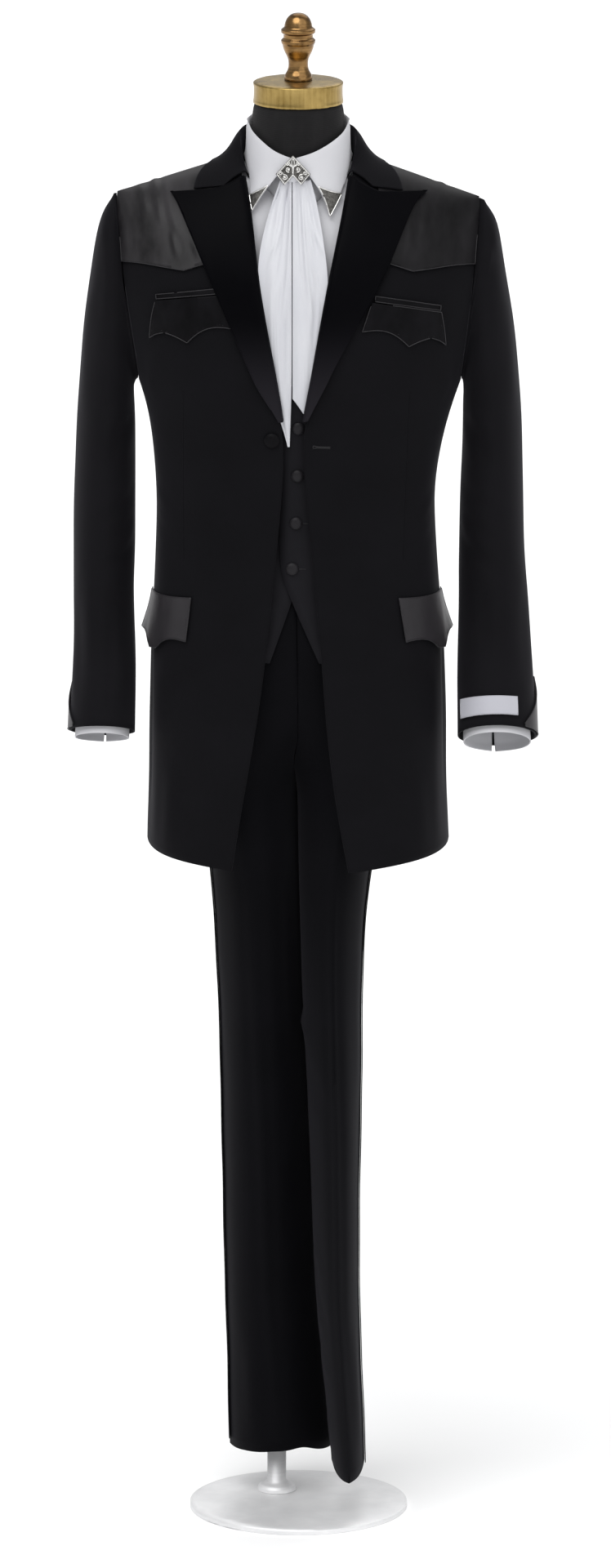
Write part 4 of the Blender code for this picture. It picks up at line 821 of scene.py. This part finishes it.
def makeCoatSewing():
    for end, corners in coat["darts"].items():
        tree = surfaceOf("coat_front_" + end)
        cordAlong("dart_" + end, [frontLine(tree, corners, -0.00005)], 0.0005, "coat_wool", "wool")
    start, stop, height, slope = coat["buttonhole"]
    tree = surfaceOf("coat_front_left")
    upper, lower = [], []
    for step in range(13):
        share = step / 12
        x = start + (stop - start) * share
        z = height + slope * share
        eye = 0.0006 + 0.0009 * math.exp(-((share - 0.06) / 0.1) ** 2)
        upper.append((x, z + eye))
        lower.append((x, z - eye))
    rim = frontLine(tree, upper, 0.0002, 0.0015) + frontLine(tree, lower[::-1], 0.0002, 0.0015)
    cordAlong("buttonhole_edge", [rim + rim[:1]], 0.00055, "coat_wool", "blackThread")
    work = bmesh.new()
    stitch = Matrix.Diagonal((0.00022, 0.0003, 0.0009, 1))
    for line, up in ((upper, 0.0006), (lower, -0.0006)):
        for point in frontLine(tree, line, 0.0003, 0.0009):
            addBead(work, point + Vector((0, 0, up)), 1, 1, stitch)
    finishBeads("buttonhole_stitches", work, "coat_wool", "blackThread")
    print("coat: darts and buttonhole are made")


label = {"cut": (0.08, 0.03, 0.0022), "thread": {"stitch": 0.0018, "gap": 0.0016, "thick": 0.0002}}


def makeLabel():
    armPiece("sleeve_label", "left", "label_cloth", "labelCloth", label["cut"])
    chains = [chain + chain[:1] for chain in rimChains("sleeve_label", "arm_left")]
    stitchInside("sleeve_label", chains, 0.0012, "label_cloth", "whiteThread", 0.0001, **label["thread"])
    print("label: a blank woven label is made")


# Vest

vest = {
    "cuts": {
        "vest_front_right": (0.3, 0.66, 0.132), "vest_front_left": (0.31, 0.66, 0.1415),
        "vest_back": (0.56, 0.66, 0.294),
    },
    # x of each buttonhole's ends beside its button, and its height
    "holes": [(0.0085, 0.0135, 1.4375), (0.0078, 0.0132, 1.3765), (0.0058, 0.0125, 1.316), (0.0008, 0.0095, 1.258)],
}


def makeVest():
    for node, cut in vest["cuts"].items():
        clothPiece(node, "body", "vest_wool", "vestWool", cut, [([], 0.3, 0.12)], 2)
    tree = surfaceOf("vest_front_left")
    for index, (start, stop, height) in enumerate(vest["holes"]):
        line = frontLine(tree, [(start, height), (stop, height - 0.0004)], 0.0001, 0.0012)
        if len(line) > 1:
            cordAlong("vest_buttonhole_" + str(index + 1), [line], 0.0005, "vest_wool", "blackThread")
    print("vest: fronts, back and buttonholes are made")


# Buttons

buttons = {
    "coat_button": "chestSatin", "vest_button_1": "buttonSatin", "vest_button_2": "buttonSatin",
    "vest_button_3": "buttonSatin", "vest_button_4": "buttonSatin",
}


def makeButtons():
    for node, finish in buttons.items():
        thing = smoothShell(node, 3, 50)
        unwrap(thing, "body", True)
        dress(thing, node, "covered_buttons", finish)
    print("buttons: five covered buttons are made")


# Shirt

shirt = {
    "cuts": {
        "shirt_front": (0.56, 0.58, 0.236), "shirt_back": (0.56, 0.58, 0.237), "shirt_collar": (0.47, 0.11, 0.0434),
        "shirt_sleeve_right": (0.3, 0.64, 0.135), "shirt_sleeve_left": (0.3, 0.64, 0.138),
        "shirt_cuff_right": (0.23, 0.12, 0.0222), "shirt_cuff_left": (0.25, 0.13, 0.0269),
    },
    "thread": {"stitch": 0.002, "gap": 0.0012, "thick": 0.0002},
    "cuffEase": 70,    # how far in degrees from the slit the cuff is turned to close it
    # Where the sleeve's hem lies, how much of the cuff below it stays, half of the slit in degrees
    "cuffs": {
        "right": {"hem": 1.037, "hemY": -0.06, "slope": -0.353, "keep": 0.6, "slit": 0.5},
        "left": {"hem": 1.034, "hemY": -0.074, "slope": -0.48, "keep": 0.56, "slit": 1},
    },
    "neckBand": (62, 1.706, 1.744, 0.064),    # half turn, lowest and highest place, radius
    # The crown sinks into the coat's sleeve head: from which height, over how much, and how far each way
    "crown": (1.59, 0.06, 0.0045, 0.09, 0.006),
}


def tuckCuff(points, end):
    # The cuff shows a finger's breadth below the sleeve, and its two ends nearly meet
    part = "arm_" + end
    tuck = shirt["cuffs"][end]
    z = points[:, 2]
    hem = tuck["hem"] + tuck["slope"] * (points[:, 1] - tuck["hemY"])
    points[:, 2] = np.where(z < hem, hem + (z - hem) * tuck["keep"], z)
    turn = roundPlace(points, part)[0]
    order = np.sort(turn)
    steps = np.diff(np.append(order, order[0] + 360))
    widest = steps.argmax()
    gap = steps[widest] / 2 - tuck["slit"]
    centre = order[widest] + steps[widest] / 2
    away = (turn - centre + 180) % 360 - 180
    share = shareOf(np.abs(away), shirt["cuffEase"], steps[widest] / 2 - shirt["cuffEase"])
    shift = -np.sign(away) * share * gap
    x, y, wide, deep, side = besideMiddle(points, part)
    start, final = np.radians(turn), np.radians(turn + shift)
    reach = np.hypot(x / wide, y / deep)
    points[:, 0] += side * wide * reach * (np.sin(final) - np.sin(start))
    points[:, 1] += -deep * reach * (np.cos(final) - np.cos(start))
    return points


def makeShirt():
    for node in ("shirt_front", "shirt_back"):
        clothPiece(node, "body", "shirt_cotton", "shirting", shirt["cuts"][node], [([], 0.3, 0.12)], 2)
    for end in ends:
        for node in ("shirt_sleeve_" + end, "shirt_cuff_" + end):
            piece = armPiece(node, end, "shirt_cotton", "shirting", shirt["cuts"][node])
            points = pointsOf(piece)
            low, long, inwards, thinner, down = shirt["crown"]
            high = shareOf(points[:, 2], low, long)
            points += high[:, None] * np.stack([
                np.full(len(high), -inwards * ends[end]), -thinner * points[:, 1], np.full(len(high), -down),
            ], axis=1)
            if node.startswith("shirt_cuff"):
                points = tuckCuff(points, end)
            movePoints(piece, points)
    cut = shirt["cuts"]["shirt_collar"]
    clothPiece("shirt_collar", "neck", "shirt_cotton", "shirting", cut)
    chains = rimChains("shirt_collar", "neck", lambda p: p.z < 1.8, 21)
    middle = Vector((0, 0, 1.8))
    stitchInside("shirt_collar", chains, 0.0048, "shirt_cotton", "whiteThread", 0.0001, middle, **shirt["thread"])
    work = bmesh.new()
    bmesh.ops.create_grid(work, x_segments=32, y_segments=6, size=1)
    half, low, high, radius = shirt["neckBand"]
    for vert in work.verts:    # the flat grid is bent round the throat
        turn = math.radians(half * vert.co.x)
        rise = (vert.co.y + 1) / 2
        reach = radius + 0.0012 * (1 - rise) ** 2
        vert.co = (reach * math.sin(turn), -reach * math.cos(turn), low + (high - low) * rise)
    bmesh.ops.recalc_face_normals(work, faces=work.faces)
    bmesh.ops.solidify(work, geom=work.faces, thickness=0.0007)
    addCloth("shirt_neck_band", work, "neck", "shirt_cotton", "shirting")
    print("shirt: body, sleeves, cuffs, collar and neck band are made")


# Cravat, brooch and collar tips

cravat = {
    "cuts": {"cravat_tail_right": (0.075, 0.36, 0.0119), "cravat_tail_left": (0.075, 0.35, 0.013)},
    # x in millimetres and height of each fold's ends
    "folds": {
        "right": [
            (-9, 1742, -23, 1560, 2.2, 1.5, 3), (-13, 1738, -33, 1600, 2.2, -1.3, 5),
            (-18, 1728, -40, 1640, 2, 1.3, 6), (-6, 1735, -11, 1580, 1.8, -1.2, 1),
            (-30, 1620, -25, 1470, 2.4, -1.1, -2), (-15, 1600, -17, 1440, 3, 1, 1),
        ],
        "left": [
            (0, 1742, 8, 1600, 1.8, -1.3, -1), (4, 1738, 20, 1570, 2.2, 1.5, -3),
            (9, 1732, 30, 1600, 2.2, -1.4, -5), (13, 1722, 38, 1650, 2, 1.2, -5), (27, 1640, 17, 1500, 2.6, 1.2, 2),
            (8, 1600, 12, 1470, 3, -0.9, 1),
        ],
    },
    "knot": (-0.0066, -0.0722, 1.752), "knotSize": (0.0105, 0.0018, 0.0085),
}


def makeCravat():
    for end in ends:
        node = "cravat_tail_" + end
        clothPiece(
            node, "body", "cravat_satin", "cravatSatin", cravat["cuts"][node],
            [(cravat["folds"][end], 0.4, 0, True)], flat=True,
        )
    work = bmesh.new()    # the gathered cloth behind the brooch
    bmesh.ops.create_uvsphere(work, u_segments=28, v_segments=16, radius=1)
    for vert in work.verts:
        pleat = 1 + 0.08 * math.sin(9 * math.atan2(vert.co.x, vert.co.z))
        x, y, z = (size * place for size, place in zip(cravat["knotSize"], vert.co))
        vert.co = Vector(cravat["knot"]) + Vector((x * pleat, y, z * pleat))
    addCloth("cravat_knot", work, "body", "cravat_satin", "cravatSatin", True, 80)
    print("cravat: two tails and the gathers behind the brooch are made")


brooch = {
    "middle": (-0.0066, -0.0722, 1.7585), "lean": 0.1, "thick": 0.0026,
    "outline": [
        (0, 0.0195), (0.0222, -0.004), (0.011, -0.0175), (0, -0.005), (-0.011, -0.0175), (-0.0217, -0.004),
        (0, 0.0195),
    ],
    # Middle, first and last radius, start and turns of each scroll, for one half
    "scrolls": [
        (0.0104, -0.0078, 0.004, 0.0007, 70, 1.45), (0.0152, -0.003, 0.0026, 0.0006, 200, -1.2),
        (0.006, 0.002, 0.0034, 0.0006, 250, 1.35), (0.0068, 0.0092, 0.0023, 0.0005, 20, -1.15),
    ],
    "petals": [(0, 0.0165, 0), (0.0036, 0.014, 0.0012), (0.0052, 0.011, 0.0018)],
    "wire": 0.00072, "rim": 0.0008, "bead": 0.00082,
    "beads": [(0, 0.004), (0.0104, -0.0078), (-0.0104, -0.0078), (0.006, 0.002), (-0.006, 0.002), (0, -0.0022)],
}


def broochSpot(x, z, rise=0):
    # A place on the brooch's face
    mx, my, mz = brooch["middle"]
    return Vector((mx + x, my + z * brooch["lean"] - brooch["thick"] - rise, mz + z))


def makeBrooch():
    plate = smoothShell("brooch", 0)
    bevel = plate.modifiers.new("edge", "BEVEL")
    bevel.width = 0.0003
    bevel.segments = 2
    withModifiers(plate)
    dress(plate, "brooch", "silver", "darkSilver")
    inner = [(x * 0.93, z * 0.93 + 0.0001) for x, z in brooch["outline"]]
    edge = evenly([broochSpot(x, z, 0.0002) for x, z in inner], 0.0012)
    cordAlong("brooch_rim", [edge], brooch["rim"], "silver", "silver", 3)
    wires = []
    for side in (-1, 1):
        for x, z, first, last, start, turns in brooch["scrolls"]:
            line = []
            for step in range(33):
                share = step / 32
                around = math.radians(start + 360 * turns * share)
                reach = first + (last - first) * share ** 0.8
                line.append(broochSpot(side * (x + reach * math.cos(around)), z + reach * math.sin(around), 0.0004))
            wires.append(line)
        for x, top, lean in brooch["petals"]:
            petal = []
            for step in range(13):
                share = step / 12
                swell = 0.0016 * math.sin(math.pi * share)
                across = side * (x * share + swell + lean * share)
                petal.append(broochSpot(across, 0.005 + (top - 0.005) * share, 0.0006))
            wires.append(petal)
        wires.append([broochSpot(side * 0.0008 * s, -0.003 + 0.0085 * s, 0.0006) for s in (0, 0.25, 0.5, 0.75, 1)])
    cordAlong("brooch_scrolls", wires, brooch["wire"], "silver", "silver", 3)
    work = bmesh.new()
    for x, z in brooch["beads"]:
        addBead(work, broochSpot(x, z, 0.0006), 2, brooch["bead"] * 1.5)
    beaded = [broochSpot(x * 0.845, z * 0.845 + 0.0003, 0.0004) for x, z in brooch["outline"]]
    for point in evenly(beaded, 0.0024):
        addBead(work, point, 1, brooch["bead"] * 0.8)
    finishBeads("brooch_beads", work, "silver", "silver")
    print("brooch: plate, scrolls and beads are made")


tips = {"rim": 0.00085, "ball": 0.0015}


def makeCollarTips():
    for end in ends:
        node = "collar_tip_" + end
        plate = smoothShell(node, 2)
        dress(plate, node, "silver", "darkSilver")
        cordAlong(node + "_rim", rimChains(node, "neck"), tips["rim"], "silver", "silver", 3)
        points = pointsOf(plate)
        low = Vector(points[points[:, 2].argmin()])
        work = bmesh.new()
        addBead(work, low + Vector((0, -0.0006, 0.0006)), 3, tips["ball"])
        finishBeads(node + "_ball", work, "silver", "silver")
    print("collar tips: plates, rims and balls are made")


# Trousers

trousers = {
    "pieces": [
        ("trouser_front", "trouser_wool", "trouserWool"), ("trouser_back", "trouser_wool", "trouserWool"),
        ("trouser_stripe", "satin_trim", "chestSatin"),
    ],
    "heights": (0.06, 1.23, 0.012),    # where the gap between the legs is measured: first, last, step
    # Height, and how far apart the legs' inner sides are there: below 0 one hangs behind the other
    "seamGap": [(0.06, -0.004), (0.5, -0.0032), (0.64, -0.0012), (0.76, 0.0003), (1.2, 0.0004)],
    "seamLean": [(0.56, 0), (0.7, 0.13), (0.98, 0.13), (1.03, 0)],
    "hemLong": 0.06,
    "hems": {
        "right": {
            "top": 0.15, "half": 0.064, "sides": 0.0085, "waves": [(0.006, 0.005, 0.016), (-0.052, -0.0015, 0.018)],
        },
        "left": {"top": 0.13, "half": 0.034, "sides": 0.001, "waves": [(0.06, -0.002, 0.012)]},
    },
    "cuts": {
        "trouser_front": (0.27, 1.18, 0.271), "trouser_back": (0.27, 1.18, 0.271),
        "trouser_stripe_right": (0.05, 1.09, 0.0337), "trouser_stripe_left": (0.06, 1.09, 0.0457),
        "waistband": (0.9, 0.036, 0.0316),
    },
    "folds": {
        "right": [
            (4, 1020, 2, 90, 7, 2, 3), (180, 1020, 180, 90, 7, 1.8, -3), (-70, 560, -14, 520, 12, -2.2, 5),
            (-72, 500, -20, 470, 11, 2, 4), (-66, 330, -30, 300, 9, -1.8, 3), (-70, 265, -24, 232, 8, 1.7, 3),
            (-62, 205, -20, 180, 8, -1.6, -2), (30, 240, 36, 80, 15, 2.2, 0), (60, 900, 66, 600, 20, 1.6, 4),
            (-40, 860, -36, 560, 16, -2.4, -3), (140, 560, 190, 520, 12, 2.2, 4), (136, 505, 196, 478, 11, -2, -4),
            (150, 220, 200, 190, 10, 1.9, 3), (146, 165, 190, 140, 9, -1.6, 0),
        ],
        "left": [
            (-2, 1010, 4, 85, 7, 2, -3), (180, 1010, 180, 85, 7, 1.8, 3), (-66, 580, -12, 548, 12, -1.8, 5),
            (-70, 360, -26, 330, 9, 1.8, 3), (-64, 300, -18, 262, 9, -1.8, 3), (-60, 220, -22, 200, 8, 1.5, -2),
            (58, 880, 62, 520, 18, 1.5, -4), (34, 260, 30, 85, 14, 1.8, 0), (142, 570, 192, 536, 12, 2, 4),
            (138, 520, 198, 488, 11, -2, -4), (148, 240, 202, 206, 10, 1.8, 3), (144, 180, 192, 150, 9, -1.6, 0),
        ],
    },
}


def trouserRoom(points):
    # The legs can sink anywhere below the coat, and hardly at the trunk
    return 0.6 + 2.6 * shareOf(points[:, 2], 1, -0.08)


def closeLegs():
    # The legs' inner sides hang close together, and lean so that no light shows between them
    names = {end: ["trouser_front_" + end, "trouser_back_" + end] for end in ends}
    heights = np.arange(*trousers["heights"])
    reach = {}
    for end, side in ends.items():
        places = np.concatenate([pointsOf(finished[name]) for name in names[end]])
        reach[end] = np.interp(heights, *innerEdge(places, side, heights, 0.008))
    seam = (reach["left"] - reach["right"]) / 2    # x of the line between the legs
    for end, side in ends.items():
        middles = np.array(parts["leg_" + end][0])
        for name in names[end]:
            points = pointsOf(finished[name])
            z = points[:, 2]
            inner = np.interp(z, heights, side * reach[end])
            target = np.interp(z, heights, seam) + side * np.interp(z, *zip(*trousers["seamGap"])) / 2
            middle = np.interp(z, middles[:, 0], middles[:, 1])
            share = shareOf(points[:, 0], middle, inner - middle) ** 3
            lean = np.interp(z, *zip(*trousers["seamLean"])) * (points[:, 1] - 0.008)
            points[:, 0] += share * (target - inner + lean)
            drop = trousers["hems"][end]
            low = shareOf(z, drop["top"], -trousers["hemLong"])
            wide = np.clip(np.abs(points[:, 0] - middle) / drop["half"], 0, 1)
            wave = sum(tall * np.exp(-((points[:, 0] - x) / wave) ** 2) for x, tall, wave in drop["waves"])
            points[:, 2] += low * (wave - drop["sides"] * wide ** 2)
            movePoints(finished[name], points)


def makeTrousers():
    for end in ends:
        part = "leg_" + end
        folds = [(trousers["folds"][end], trouserRoom, 0.35)]
        for kind, slot, finish in trousers["pieces"]:
            node = kind + "_" + end
            clothPiece(node, part, slot, finish, trousers["cuts"].get(node) or trousers["cuts"][kind], folds)
    closeLegs()
    clothPiece("waistband", "body", "trouser_wool", "trouserWool", trousers["cuts"]["waistband"], levels=2)
    print("trousers: legs, side stripes and waistband are made")


# Dress form

dressForm = {
    "form": ("form_jersey", "jersey", 2), "neck_cap": ("cap_brass", "capBrass", 2),
    "finial": ("finial_brass", "finialBrass", 2), "pole": ("stand_steel", "standSteel", 1),
    "base": ("stand_steel", "standSteel", 1),
}


def makeForm():
    for node, (slot, finish, levels) in dressForm.items():
        thing = smoothShell(node, levels, 40)
        if node == "form":
            unwrap(thing, "body")
        dress(thing, node, slot, finish)
        smoothShading(thing, 38)
    print("dress form: body, cap, finial, pole and base are made")


placeCamera()
makeStudio()
makeFinishes()
makeCoat()
makeCoatEdges()
makeCoatSewing()
makeLabel()
makeVest()
makeButtons()
makeShirt()
makeCravat()
makeBrooch()
makeCollarTips()
makeTrousers()
makeForm()
print("whole: all pieces are made")
